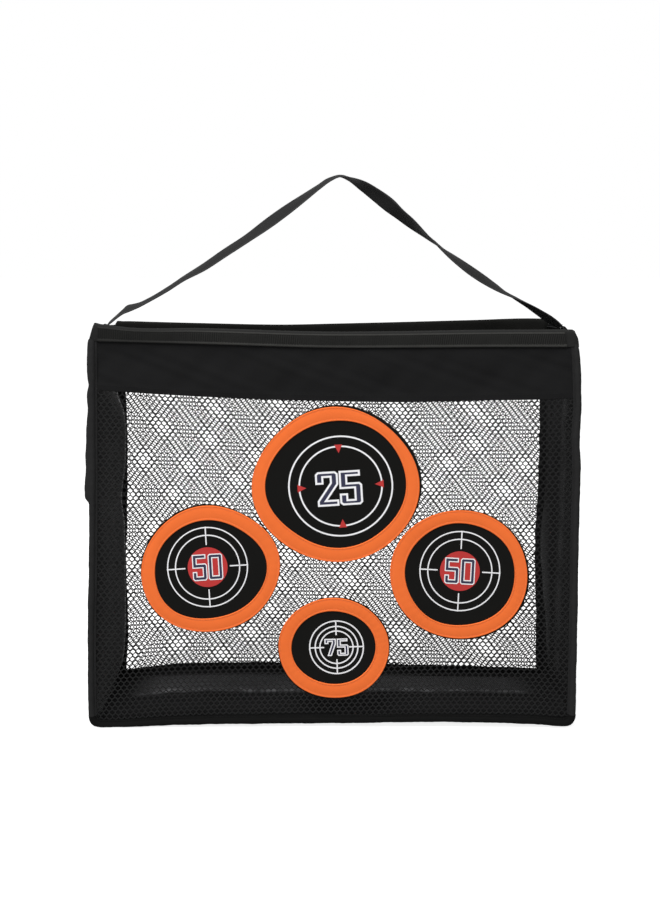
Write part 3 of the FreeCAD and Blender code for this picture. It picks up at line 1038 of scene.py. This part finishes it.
def make_wire(panel):
    node = panel.name + "_wire_hoop"
    stations, inward = hoop_seam(np.arange(wire_gap - half_loop, half_loop - wire_gap, wire_step))
    angle = full_turn(12)
    spots = stations[:, None] + wire_radius * np.cos(angle)[:, None] * inward[:, None]
    bar = loft(panel.place(spots[..., 0], spots[..., 1], wire_radius * np.sin(angle)))
    attach(add_mesh(node + "_steel", [bar], steel_finish), panel.body, "spring_steel", node)


def make_ferrule(panel):
    """A pressed sleeve over the wire's two ends, with two crimps and rolled ends."""
    node = panel.name + "_wire_ferrule"
    x = np.linspace(-ferrule_length, ferrule_length, 61)[:, None]
    rolled = 0.2 * bell(np.abs(x), ferrule_length - 0.8, 0.5)
    crimps = 0.35 * bell(np.abs(x), 8, 1.6)
    outside = wire_radius + ferrule_wall + rolled - crimps
    radius = np.concatenate([0 * x + wire_radius + ferrule_play, outside[::-1]])
    angle = full_turn(16)
    x = np.concatenate([x, x[::-1]])
    rings = panel.place(x, hoop_high + radius * np.cos(angle), radius * np.sin(angle))
    piece = add_mesh(node + "_crimped", [loft(rings, "joined")], ferrule_finish)
    attach(piece, panel.body, "ferrule_metal", node)


# Hems of the back net: tape folded over its edge

hem_cloth = 0.5
hem_fold = 0.75
hem_seam = 7.4
hem_tuck = 4.0
hem_width = inner_x - hem_x


def folded_tape(width, count, wander=0.0):
    """Path of a tape folded over an edge, from one free edge round the fold to the other."""
    leg = spaced_with_edges(width, hem_fold, count)[:-1]
    angle = np.radians(np.linspace(90, 270, 7))
    a = np.concatenate([leg, hem_fold + hem_fold * np.cos(angle), leg[::-1]])
    d = np.concatenate([-hem_fold + 0 * leg, -hem_fold * np.sin(angle), hem_fold + 0 * leg])
    return pairs(a + wander * np.clip(a / width, 0, 1), d)


def make_hem(node, seam, seed):
    along = seam[0].sum(1)[:, None]
    path = folded_tape(hem_width, 7, 0.5 * waves(along, 0, 40.0, seed))
    sew_cloth(back, node, "tape", "black_fabric", hem_finish, seam, path, hem_cloth)
    sew_along(back, node, "black_fabric", seam, hem_seam, hem_fold + 0.5 * hem_cloth)


# Gussets between the panels, with the creases that pressing the net flat leaves in them

gusset_cloth = 0.9
gusset_hem_height = hem_top - gusset_top
gusset_hem_seam = 6.0
gusset_in_hem = 5.0
right_swell = 5.0
right_sharp = 0.3
left_sharp = 0.06
hem_sag, hem_sag_reach = 3.0, 22.0
tack_count, tack_spacing = 7, 0.55
tack_inset, tack_end_gap, tack_above = 1.4, 3.0, 1.0
tack_length, tack_thread = 3.6, 0.7
gusset_end_calm = 40.0
gusset_reach = 0.5 * (back_y - front_y) - 3.5
fold = [joint for joint in frame["joints"] if joint["name"] == "depth_fold"][0]
pressed_room = back_y - front_y - fold["range_m"][1] / MM
# Pressed flat, the gussets' rear edges stay this far before the back panel's middle
rear_gap = 2.4
pressed_share = (pressed_room - rear_gap) / (gusset_reach - front_y)

# How far the creases stand in from the hoop, along the run
left_fold = smooth((corner_middle, 3), (315, 9), (345, 20), (372, 24), (415, 26), (455, 26), (517, 23.7),
                   (530, 22.7), (543, 20.6), (562, 19.3), (582, 21.3), (594, 23.3), (627, 24.4),
                   (646, 25.2), (660, 24.2), (672, 22.6), (685, 18), (698, 14), (710, 9), (722, 4),
                   (732, 1), (738, 0), (800, 0))
right_fold = smooth((corner_middle, 3), (330, 2), (400, 0), (500, -1), (600, -1.5), (700, -4.2),
                    (740, -right_swell), (800, -right_swell))
bottom_fold = smooth((-298, 3), (-275, 5), (-230, 6.5), (0, 5.5), (230, 6.5), (275, 5), (298, 3))
right_rear_fold = smooth((0, 1), (40, 4), (110, 9), (190, 14), (250, 12), (330, 6), (420, 1.5), (480, 0))


def right_bulge(along, depth):
    """A soft fold that hangs inwards near the back of the right gusset."""
    return right_rear_fold(along) * bell(depth, rear_fold_depth, 17.0)


def crumple(piece):
    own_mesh(piece)


def ridge(depth, sharp):
    """A fold's height across the gusset, 1 at the crease and 0 at the panels."""
    far = np.abs(depth) / gusset_reach
    slope = 1 - (np.sqrt(far * far + sharp * sharp) - sharp) / (math.sqrt(1 + sharp * sharp) - sharp)
    return np.clip(slope, 0, 1)


def make_gusset(name, finish, run, height, sharp, pinch, bulge, seed):
    """Cloth from one panel to the other. height is the crease's and pinch that of the
    pressed edge along it. bulge adds more. It lies smooth at both of its ends."""
    seam = hoop_seam(run)
    share = np.linspace(-1, 1, 65)
    depth = (gusset_reach - edge_step) * (0.25 * share + 0.75 * share ** 3)
    depth = np.concatenate([[-gusset_reach], depth, [gusset_reach]])
    step = np.linalg.norm(np.diff(seam[0], axis=0), axis=1).mean()
    along = step * np.arange(len(run))[:, None]
    calm = np.clip(np.minimum(along, along[-1] - along) / gusset_end_calm, 0, 1)
    held = calm * (1 - (np.abs(depth) / gusset_reach) ** 6)
    wrinkles = 1.1 * waves(along, depth * 0.7, 120.0, seed)
    wrinkles = wrinkles + 0.45 * waves(along * 1.3, depth, 31.0, seed + 1)
    inset = height[:, None] * ridge(depth, sharp) + held * (wrinkles + bulge(along, depth))
    path = pairs(inset + calm * pinch * bell(depth, 0.0, 1.1), depth)
    part = strip(across, seam, path, gusset_cloth * soft_edge(len(depth)))
    v = part["quad_spots"][..., 1]
    one_side = 0.5 * v.max()
    v[:] = np.mod(v, one_side) - 0.5 * one_side
    piece = attach(add_mesh(name + "_cloth", [part], finish), "front_panel", "black_fabric", name)
    crumple(piece)


def make_gusset_hem(name, side):
    """Tape folded over a side gusset's top edge."""
    y = np.linspace(-gusset_reach, gusset_reach, 50)[:, None]
    droop = 0.8 * waves(y, 0, 70.0, 21 + side) + hem_sag * bell(y, 0.0, hem_sag_reach)
    x = side * hoop_x + (right_swell * ridge(y, right_sharp) if side > 0 else 0 * y)
    tape = folded_tape(gusset_hem_height, 6)
    inset, off = section_of(tape, hem_cloth * soft_edge(len(tape))).T
    part = loft(across(x + off, hem_top - inset + droop, y))
    piece = attach(add_mesh(name + "_tape", [part], hem_finish), "front_panel", "black_fabric", name)
    crumple(piece)
    rows = []
    for face in (-1, 1):
        off = face * (hem_fold + 0.5 * hem_cloth + thread_stand)
        line = across(x + off, hem_top - gusset_hem_seam + droop, y)[:, 0]
        rows.append(stitch_row(line, (face, 0, 0)))
    crumple(sew(name, "front_panel", "black_fabric", rows, black_thread))
    # A bar of thread tacks each end of the hem to a panel
    near = gusset_reach - tack_end_gap - tack_spacing * np.arange(tack_count)
    y = np.concatenate([-near, near])
    spots = across(side * (hoop_x - tack_inset) + 0 * y, hem_top + tack_above, y)
    upwards, sideways = (np.broadcast_to(axis, spots.shape)
                         for axis in ((0.0, 0.0, 1.0), (-side, 0.0, 0.0)))
    tacks = threads(spots, upwards, sideways, tack_length, tack_thread)
    piece = add_mesh(name + "_tacks", tacks, pale_thread)
    crumple(attach(piece, "front_panel", "black_fabric"))


# Targets

disc_depth = 1.45
disc_back = 0.45
disc_bow, disc_bow_length = 0.45, 190.0
around = full_turn(200)


def circle(radius, count=120):
    angle = full_turn(count)
    return radius * pairs(np.cos(angle), np.sin(angle))


def turned(path, degrees):
    cos, sin = math.cos(math.radians(degrees)), math.sin(math.radians(degrees))
    return np.asarray(path, float) @ np.array([[cos, sin], [-sin, cos]])


def harmonics(terms):
    """A closed curve's gentle unevenness: (waves per turn, size in mm, place in degrees)."""
    return sum(size * np.cos(count * (around - math.radians(place))) for count, size, place in terms)


class Target:
    """A target, with the edges of its disc and of its ring. wobbles are those of the ring's
    outer and inner edge and, on top, that of the disc. The print has its own centre, tilt
    in degrees and squeeze upwards."""

    def __init__(self, name, ring_width, tilt, print_shift, squeeze, wobbles, seed):
        ring = name + "_ring"
        outer_wobble, inner_wobble, disc_wobble = (harmonics(terms) for terms in wobbles)
        radius = np.array([half_size(ring, X), half_size(ring, Z)])
        self.name = name
        self.tilt = tilt
        self.squeeze = squeeze
        self.seed = seed
        self.centre = np.array([middle(ring, X), middle(ring, Z) + lift])
        self.print_centre = self.centre + print_shift
        self.outer = self.edge(radius, outer_wobble)
        self.inner = self.edge(radius - ring_width, inner_wobble)
        self.disc = self.edge(radius, outer_wobble + disc_wobble)

    def edge(self, radius, wobble):
        """An uneven ellipse round the target's centre."""
        return self.centre + circle(1.0, len(around)) * radius * (1 + wobble / radius.mean())[:, None]

    def on_disc(self, spots, proud):
        """Points that stand off the disc's front by the given height."""
        x, z = spots.T
        bow = disc_bow * waves(x, z, disc_bow_length, self.seed)
        return front.flat(x, z, -disc_depth - bow - proud)

    def on_print(self, path, proud):
        """Points of the print, from its own level axes."""
        return self.on_disc(turned(path * (1, self.squeeze), self.tilt) + self.print_centre, proud)


def make_disc(target):
    node = target.name + "_disc"
    centre = target.disc.mean(0)
    shares = np.concatenate([[0.02], np.linspace(0.08, 0.98, 22), [0.995]])
    thick = disc_depth - disc_back
    levels = [(share, 0.0) for share in shares] + [(1.0, -0.5 * thick)]
    levels += [(share, -thick) for share in shares[::-1]]
    rings = [target.on_disc(centre + (target.disc - centre) * share, proud) for share, proud in levels]
    piece = add_mesh(node + "_cloth", [loft(np.stack(rings), "point")], disc_finish)
    attach(piece, "front_panel", "target_disc", node)


# The ring's section: (share of its width from the inner edge, height over the disc). Both
# edges are turned in, which makes a bead along them
ring_section = ((0, 0.3), (0.008, 0.9), (0.03, 1.3), (0.06, 1.4), (0.09, 1.3), (0.115, 1.05),
                (0.14, 0.98), (0.17, 1.05), (0.28, 1.25), (0.5, 1.35), (0.72, 1.25), (0.83, 1.05),
                (0.86, 0.98), (0.885, 1.05), (0.91, 1.3), (0.94, 1.4), (0.97, 1.3), (0.992, 0.9),
                (1, 0.3), (0.97, -0.1), (0.5, -0.1), (0.03, -0.1))
ring_stitch_shares = (0.14, 0.86)
ring_thread = 0.5
ring_thread_height = 1.0
pucker_height, pucker_count = 0.09, 46


def make_ring(target):
    node = target.name + "_ring"
    uneven = 2 * waves(around * 50, 0, 60.0, target.seed)
    pucker = pucker_height * np.sin(around * pucker_count + uneven)

    def between(share):
        return target.inner + (target.outer - target.inner) * share

    rings = [target.on_disc(between(share), height + pucker * math.sin(math.pi * share) * (height > 0))
             for share, height in ring_section]
    piece = add_mesh(node + "_cloth", [loft(np.stack(rings), "joined")], orange_finish)
    attach(piece, "front_panel", "orange_ring", node)
    width, length = np.ptp(target.outer, axis=0) * MM
    hole = np.ptp(target.inner, axis=0).prod() * MM * MM
    area = 0.25 * math.pi * (width * length - hole)
    rows = []
    for share in ring_stitch_shares:
        spots = between(share)
        line = target.on_disc(np.concatenate([spots, spots[:1]]), ring_thread_height)
        rows.append(stitch_row(line, (0, -1, 0), ring_thread))
    sew(node, "front_panel", "orange_ring", rows, orange_thread)


# Prints: flat ink a little proud of the disc. Its underside is just inside the disc

ink_height = 0.16
ink_under = -0.1
ink_step = 3.0
circle_step = 9.0
navy_inset = 0.3
quarters = (0, 90, 180, 270)
numeral_grid = (10, 16)


def side_steps(path, step):
    """Into how many steps each side of a closed path is cut, so that none is longer."""
    return np.ceil(np.linalg.norm(np.roll(path, -1, axis=0) - path, axis=1) / step).astype(int)


def densed(path, counts):
    """A closed path with its sides cut into steps."""
    return np.array([start + (end - start) * k / count
                     for start, end, count in zip(path, np.roll(path, -1, axis=0), counts)
                     for k in range(count)])


def offset_corners(path, distance):
    """A closed path moved to its left by the distance, with square corners."""
    before = unit(path - np.roll(path, 1, axis=0))
    after = unit(np.roll(path, -1, axis=0) - path)
    left = unit(pairs(-before[:, 1] - after[:, 1], before[:, 0] + after[:, 0]))
    bend = np.clip(left[:, 1] * after[:, 0] - left[:, 0] * after[:, 1], 0.4, 1)
    return path + left * (distance / bend)[:, None]


def ink_band(target, path, near, far, level=0.0, step=ink_step):
    """A band beside a closed path, between two distances to its left."""
    counts = side_steps(path, step)
    inner, outer = (densed(offset_corners(path, distance), counts) for distance in (near, far))
    sides = ((inner, ink_under), (inner, ink_height), (outer, ink_height), (outer, ink_under))
    return loft(np.stack([target.on_print(line, level + height) for line, height in sides]), "joined")


def ink_patch(target, path, level=0.0):
    """A filled shape. Its path has to be convex."""
    edge = densed(path, side_steps(path, ink_step))
    centre = edge.mean(0)
    sides = ((0.3, ink_height), (0.65, ink_height), (1, ink_height), (1, ink_under), (0.3, ink_under))
    return loft(np.stack([target.on_print(centre + (edge - centre) * share, level + height)
                          for share, height in sides]), "point")


def ink_plate(target, outlines, level):
    """A filled shape of any outline, with holes where further outlines are given."""
    edges = [densed(outline, side_steps(outline, ink_step)) for outline in outlines]
    flat = np.concatenate(edges)
    count = len(flat)
    top = np.array(tessellate_polygon([[(x, z, 0.0) for x, z in edge] for edge in edges]))
    a, b, c = (flat[top[:, k]] for k in range(3))
    downward = np.cross(b - a, c - a) < 0
    top[downward] = top[downward][:, ::-1]
    here = np.arange(count)
    loops = np.split(here, np.cumsum([len(edge) for edge in edges])[:-1])
    following = np.concatenate([np.roll(loop, -1) for loop in loops])
    quads = np.stack([following, count + following, count + here, here], 1)
    tris = np.concatenate([top, top[:, ::-1] + count])
    points = np.concatenate([target.on_print(flat, level + height) for height in (ink_height, ink_under)])
    spots = np.concatenate([flat, flat])
    return {"points": points, "quads": quads, "quad_spots": spots[quads],
            "tris": tris, "tri_spots": spots[tris]}


def numeral(character, stem):
    """A block numeral on a grid 10 wide and 16 high: an outline with its inside to its
    left, and any hole the other way round. stem is the width of an upright stroke."""
    far = 10 - stem
    return {
        "0": [[(1.1, 0), (8.9, 0), (10, 1), (10, 15), (8.9, 16), (1.1, 16), (0, 15), (0, 1)],
              [(stem, 2.7), (stem, 13.3), (far, 13.3), (far, 2.7)]],
        "2": [[(0.6, 0), (10, 0), (10, 2.9), (5.0, 2.9), (10, 9.9), (10, 14.9), (8.8, 16), (1.2, 16),
               (0, 14.9), (0, 10.2), (stem, 10.2), (stem, 13.2), (far, 13.2), (far, 10.8), (0.6, 2.6)]],
        "5": [[(1.2, 0), (8.8, 0), (10, 1.1), (10, 9.3), (8.9, 10.4), (stem, 10.4), (stem, 13.3),
               (9.3, 13.3), (9.3, 16), (0, 16), (0, 7.6), (far, 7.6), (far, 2.7), (stem, 2.7),
               (stem, 5.5), (0, 5.5), (0, 1.1)]],
        "7": [[(2.4, 0), (2.5 + stem, 0), (10, 11), (10, 16), (0, 16), (0, 11.2), (stem, 11.2),
               (stem, 13.2), (6.4, 13.2), (6.4, 12)]],
    }[character]


def print_number(target, text, size, gap, line, centre, stem):
    """Navy numerals with white outlines on them."""
    white, navy = [], []
    width = (size[0] - gap * (len(text) - 1)) / len(text)
    for place, character in enumerate(text):
        corner = np.array([place * (width + gap) - 0.5 * size[0], -0.5 * size[1]]) + centre
        outlines = [np.array(outline) / numeral_grid * (width, size[1]) + corner
                    for outline in numeral(character, stem)]
        white += [ink_band(target, outline, 0.0, line, 2.0 * ink_height) for outline in outlines]
        inside = [offset_corners(outline, navy_inset) for outline in outlines]
        navy.append(ink_plate(target, inside, ink_height))
    return white, navy


def print_target(target, rings, line, number, ticks=(), spots=(), arrows=()):
    """rings: radii. ticks: (outer, inner) radii. spots: radii of red discs under the number.
    arrows: (base radius, point radius, base width) of red marks that point inwards."""
    half = 0.5 * line
    white = [ink_band(target, circle(radius), -half, half, step=circle_step) for radius in rings]
    for outer, inner in ticks:
        shape = [(inner, -half), (outer, -half), (outer, half), (inner, half)]
        white += [ink_patch(target, turned(shape, degrees)) for degrees in quarters]
    red = [ink_patch(target, circle(radius, 72)) for radius in spots]
    for base, point, width in arrows:
        shape = [(point, 0), (base, -0.5 * width), (base, 0.5 * width)]
        red += [ink_patch(target, turned(shape, degrees), ink_height) for degrees in quarters]
    number_white, navy = print_number(target, *number)
    for colour, parts, finish in (("white", white + number_white, white_ink), ("red", red, red_ink),
                                  ("navy", navy, navy_ink)):
        if parts:
            piece = add_mesh(f"{target.name}_{colour}_print", parts, finish, 30.0)
            attach(piece, "front_panel", "target_disc")


# The strap: one webbing, sewn to both side gussets

webbing_width = 20.0
webbing_thickness = 1.4
selvage_place, selvage_width, selvage_extra = 8.9, 0.6, 0.35
strap_cup, strap_curl = 0.35, 2.2
strap_rings = 480
# It is held flat up to this height over the rivets, and free over the next stretch
strap_held, strap_freed = 4.0, 12.0
right_tab_x = tab_x + right_swell
stitch_box_edge = 2.0
stitch_box_height = 20.0
stitch_box_stand = 0.4

# Place (x, z) of its middle line, and its turn about that line in degrees: 0 where it
# is edge-on from the front, positive where its upper side shows
strap_route = (
    (-tab_x, tab_low, 0), (-tab_x, 466, 0), (-tab_x, 482, 0), (-tab_x - 0.2, 494, 3),
    (-296.5, 502.5, 9), (-290.5, 508.3, 12), (-283.3, 514.2, 13), (-275.5, 520.4, 19), (-270.8, 523.4, 26),
    (-264, 525.6, 22), (-255, 528.7, 17), (-244.9, 533.7, 15), (-217.2, 549.7, 17), (-196, 563.6, 19),
    (-169.6, 578.7, 29), (-143.9, 596, 33), (-112.8, 616.3, 34), (-81.2, 638.9, 45),
    (-60, 654.2, 42), (-38.9, 669.2, 31), (-17.9, 684.3, 20), (-3, 694.3, 16),
    (8.5, 697.6, 6), (20, 695.1, -6), (40.1, 685.4, -37), (56, 674.6, -52), (73.1, 661.6, -63),
    (88, 648.8, -43), (102.1, 637.3, -35), (119.3, 622.7, -15), (136.4, 608.2, 3),
    (160.2, 589.9, 26), (189.3, 569.0, 37), (215.7, 551.8, 25), (236.9, 538.8, 3),
    (259.4, 526.8, -13), (274, 517.6, -21), (288, 508.4, -25), (297.5, 501.9, -16),
    (302.3, 497.6, -8), (right_tab_x + 0.4, 492, -2), (right_tab_x, 484, 0), (right_tab_x, 466, 0),
    (right_tab_x, tab_low, 0),
)


def make_strap():
    route = np.array(strap_route, float)
    stops = gone_along(route[:, :2])
    along = np.linspace(0, stops[-1], strap_rings)
    x, z, turn = (smooth(*zip(stops, route[:, k]))(along) for k in range(3))
    turn = np.radians(turn)
    middle_line = np.stack([x, 0 * x, z], -1)
    direction = unit(np.gradient(middle_line, axis=0))
    upward = np.stack([-direction[:, Z], 0 * x, direction[:, X]], -1)
    depthwise = np.array([0.0, 1.0, 0.0])
    cos, sin = np.cos(turn)[:, None], np.sin(turn)[:, None]
    width_axis = cos * depthwise + sin * upward
    face_axis = cos * upward - sin * depthwise
    across_web = spaced_with_edges(-0.5 * webbing_width, 0.5 * webbing_width, 17)
    # Where it is turned edge-on it curls, and it lies flat on the gussets
    free = np.clip((z - rivet_z - strap_held) / strap_freed, 0, 1)
    cup = strap_cup + strap_curl * free * (1 - np.abs(np.sin(turn))) ** 2
    cup = cup[:, None] * np.cos(across_web / webbing_width * math.pi)
    selvage = 1 + selvage_extra * bell(np.abs(across_web), selvage_place, selvage_width)
    thickness = webbing_thickness * selvage * soft_edge(len(across_web))
    section = section_of(pairs(across_web, cup), thickness)
    rings = (middle_line[:, None] + section[..., :1] * width_axis[:, None]
             + section[..., 1:] * face_axis[:, None])
    piece = add_mesh("carry_strap_webbing", [loft(rings)], webbing_finish)
    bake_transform(piece)
    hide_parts("carry_strap", "left_strap_tab", "right_strap_tab", "left_strap_bend",
                "right_strap_bend")
    # Both tabs are sewn on by a crossed box
    side, low = 0.5 * webbing_width - stitch_box_edge, tab_low + stitch_box_edge
    high = low + stitch_box_height
    corners = np.array([(-side, low), (side, low), (side, high), (-side, high)])
    rows = []
    for tab in (-tab_x, right_tab_x):
        for face in (-1, 1):
            for start, end in ((0, 1), (1, 2), (2, 3), (3, 0), (0, 2), (3, 1)):
                y, z = np.linspace(corners[start], corners[end], 9).T
                x = tab + face * (0.5 * webbing_thickness + stitch_box_stand) + 0 * y
                rows.append(stitch_row(np.stack([x, y, z], -1), (face, 0, 0)))
    sew("strap_tab", "strap_anchor", "strap_webbing", rows, black_thread)


def make_rivet(node, shift):
    """A domed two-part rivet through the webbing and the gusset."""
    reach, head = half_size(node, X), half_size(node, Z)
    # How far inside the rivet's end, and the radius there
    profile = ((-0.2, 0.4), (0.0, 1.6), (0.35, 2.8), (0.9, head), (1.25, head - 0.1), (1.3, 1.9))
    half = [(reach - inside, radius) for inside, radius in profile]
    x, radius = np.array([(-x, radius) for x, radius in half] + half[::-1]).T[..., None]
    angle = full_turn(32)
    rings = np.stack(np.broadcast_arrays(middle(node, X) + shift + x,
                                         middle(node, Y) + radius * np.cos(angle),
                                         middle(node, Z) + radius * np.sin(angle)), -1)
    piece = add_mesh(node + "_domed", [loft(rings, "point")], rivet_finish, 60.0)
    attach(piece, "strap_anchor", "rivet_metal", node)


# Stage and light

floor_reach = 30.0
floor_grey = 0.35
seen_floor_grey, seen_floor_glow = 0.45, 0.85
world_light = 0.45
key_place, key_aim = (-0.9, -2.0, 3.6), (0, 0, 0.3)
key_size, key_watts = 2.2, 195


def empty_tree(holder):
    holder.use_nodes = True
    holder.node_tree.nodes.clear()
    return holder.node_tree


def grey(value):
    return value, value, value, 1.0


def mix_by_ray(tree, output, lighting, seen):
    """Links up two shaders: one that lights the net, and one for rays that show the
    background, from the camera, in gloss or through glass."""
    path = add_node(tree, "ShaderNodeLightPath").outputs
    share = Field(tree, path["Is Camera Ray"]).math("MAXIMUM", path["Is Glossy Ray"])
    share = share.math("MAXIMUM", path["Is Transmission Ray"])
    mix = add_node(tree, "ShaderNodeMixShader", {0: share, 1: lighting.outputs[0], 2: seen.outputs[0]})
    add_node(tree, output, {0: mix.outputs[0]})


def make_stage():
    mesh = bpy.data.meshes.new("floor")
    corners = ((-1, -1), (1, -1), (1, 1), (-1, 1))
    mesh.from_pydata([(x * floor_reach, y * floor_reach, 0) for x, y in corners], [], [range(4)])
    add_object("floor", mesh)
    finish = bpy.data.materials.new("floor")
    tree = empty_tree(finish)
    plain, pale = (add_node(tree, "ShaderNodeBsdfDiffuse", {"Color": grey(value)})
                   for value in (floor_grey, seen_floor_grey))
    glow = add_node(tree, "ShaderNodeEmission", {"Strength": seen_floor_glow})
    both = add_node(tree, "ShaderNodeAddShader", {0: pale.outputs[0], 1: glow.outputs[0]})
    mix_by_ray(tree, "ShaderNodeOutputMaterial", plain, both)
    mesh.materials.append(finish)


def make_world():
    world = bpy.data.worlds.new("studio")
    bpy.context.scene.world = world
    tree = empty_tree(world)
    light, white = (add_node(tree, "ShaderNodeBackground", {"Color": grey(1.0), "Strength": strength})
                    for strength in (world_light, 1.0))
    mix_by_ray(tree, "ShaderNodeOutputWorld", light, white)


def make_key_light():
    data = bpy.data.lights.new("key_light", "AREA")
    data.shape = "SQUARE"
    data.size = key_size
    data.energy = key_watts
    lamp = add_object("key_light", data)
    lamp.location = key_place
    aim = Vector(key_aim) - Vector(key_place)
    lamp.rotation_mode = "QUATERNION"
    lamp.rotation_quaternion = aim.to_track_quat("-Z", "Y")


# The whole net, piece by piece


def make_panels():
    # The front's bottom sleeve takes the copy painted with shade, every other sleeve the copy painted with
    # light
    for panel, seed, left_bulge, low_finish, low_bulge in (
            (front, 30, front_left_bulge, shaded_low_sleeve_finish, corner_bulge),
            (back, 70, no_bulge, lit_sleeve_finish, no_bulge)):
        make_header(panel, seed)
        make_binding(panel, seed + 3)
        make_sleeve(panel, "left", -top_run, -corner_end, seed + 6, lit_sleeve_finish, left_bulge)
        make_sleeve(panel, "right", corner_end, top_run, seed + 9, lit_sleeve_finish)
        make_sleeve(panel, "bottom", -corner_end, corner_end, seed + 12, low_finish, low_bulge)
        make_wire(panel)
        make_ferrule(panel)
    make_net(front, inner_x, inner_z, front_askew)
    make_net(back, hem_x, hem_z, back_askew)
    make_hem("back_bottom_hem", level_seam(-inner_x, inner_x, inner_z, seam_step), 61)
    for side, name in ((-1, "left"), (1, "right")):
        x = side * inner_x
        seam = straight_seam((x, hem_z), (x, header_z + hem_tuck), (-side, 0), seam_step)
        make_hem(f"back_{name}_hem", seam, 63 + side)


def make_gussets():
    run = np.linspace(corner_middle, run_at_height(gusset_top + gusset_in_hem), 156)
    make_gusset("left_gusset", left_gusset_finish, -run, left_fold(run), left_sharp, 1.6, no_bulge, 71)
    make_gusset_hem("left_gusset_hem", -1)
    make_gusset("right_gusset", right_gusset_finish, run, right_fold(run), right_sharp, -0.6,
                right_bulge, 76)
    make_gusset_hem("right_gusset_hem", 1)
    run = np.linspace(-corner_middle, corner_middle, 153)
    make_gusset("bottom_gusset", base_finish, run, bottom_fold(run), left_sharp, 1.3, no_bulge, 81)


def make_targets():
    """Each ring leaves a sliver of its disc showing, more on one side than the other."""
    far_25 = Target(
        "target_25", (17.7, 18.7), 3.5, (6.3, -3.0), 0.965,
        [[(0, -1.6, 0), (1, 2.2, -80), (3, 1.1, -35), (4, 1.3, 4)],
         [(0, -0.4, 0), (1, 1.4, -27), (2, 0.7, 50), (3, 1.2, -59), (4, 0.9, 2), (5, 0.5, -17)],
         [(0, 1.3, 0), (1, 1.7, 42), (2, 1.0, 42)]], 5)
    left_50 = Target(
        "target_50_left", (17.5, 19.8), 3.5, (-4.1, 1.2), 1.0,
        [[(0, -0.9, 0), (1, 1.8, -124), (2, 1.8, 34), (3, 1.0, -6), (4, 0.6, 18), (5, 0.4, 20)],
         [(0, 0.6, 0), (1, 2.8, -118), (2, 1.2, 46), (3, 1.5, -5), (5, 0.5, 16)],
         [(0, 0.8, 0), (1, 0.5, 130), (2, 0.7, 120)]], 6)
    right_50 = Target(
        "target_50_right", (18.7, 18.2), -3.0, (0.4, 3.4), 1.0,
        [[(0, -0.3, 0), (1, 1.0, -123), (2, 0.6, -54), (3, 0.5, -57), (4, 0.4, -38)],
         [(0, 1.1, 0), (1, 1.0, -52), (2, 0.4, -80), (4, 0.3, -38), (5, 0.5, 29)],
         [(0, 1.1, 0), (1, 1.4, -30)]], 7)
    near_75 = Target(
        "target_75", (17.8, 18.5), 2.0, (3.7, 0.0), 0.985,
        [[(0, -0.6, 0), (1, 0.8, -83), (2, 0.3, -29), (5, 0.3, 14)],
         [(0, 0.6, 0), (1, 0.3, -106), (4, 0.3, 24)],
         [(0, 0.9, 0), (1, 0.4, -60), (2, 0.7, 50)]], 9)
    for target in (far_25, left_50, right_50, near_75):
        make_disc(target)
        make_ring(target)
    print_target(far_25, (64.8, 51.8), 2.0, ("25", (58.5, 45), 1.2, 2.5, (-2.2, -2.7), 3.6),
                 arrows=[(54, 43, 10)])
    for target in (left_50, right_50):
        print_target(target, (50, 40.2), 1.5, ("50", (38, 33), 1.4, 1.25, (0, 0), 3.1),
                     ticks=[(51, 28)], spots=[25])
    print_target(near_75, (33.7, 26.8, 20.8), 1.6, ("75", (30, 22), 1.2, 1.45, (0, 0), 3.5),
                 ticks=[(34.5, 15.5)])


make_camera()
make_panels()
make_gussets()
make_targets()
make_strap()
make_rivet("left_strap_rivet", 0.0)
make_rivet("right_strap_rivet", right_swell)
make_stage()
make_world()
make_key_light()

bpy.context.scene.view_settings.view_transform = "Standard"
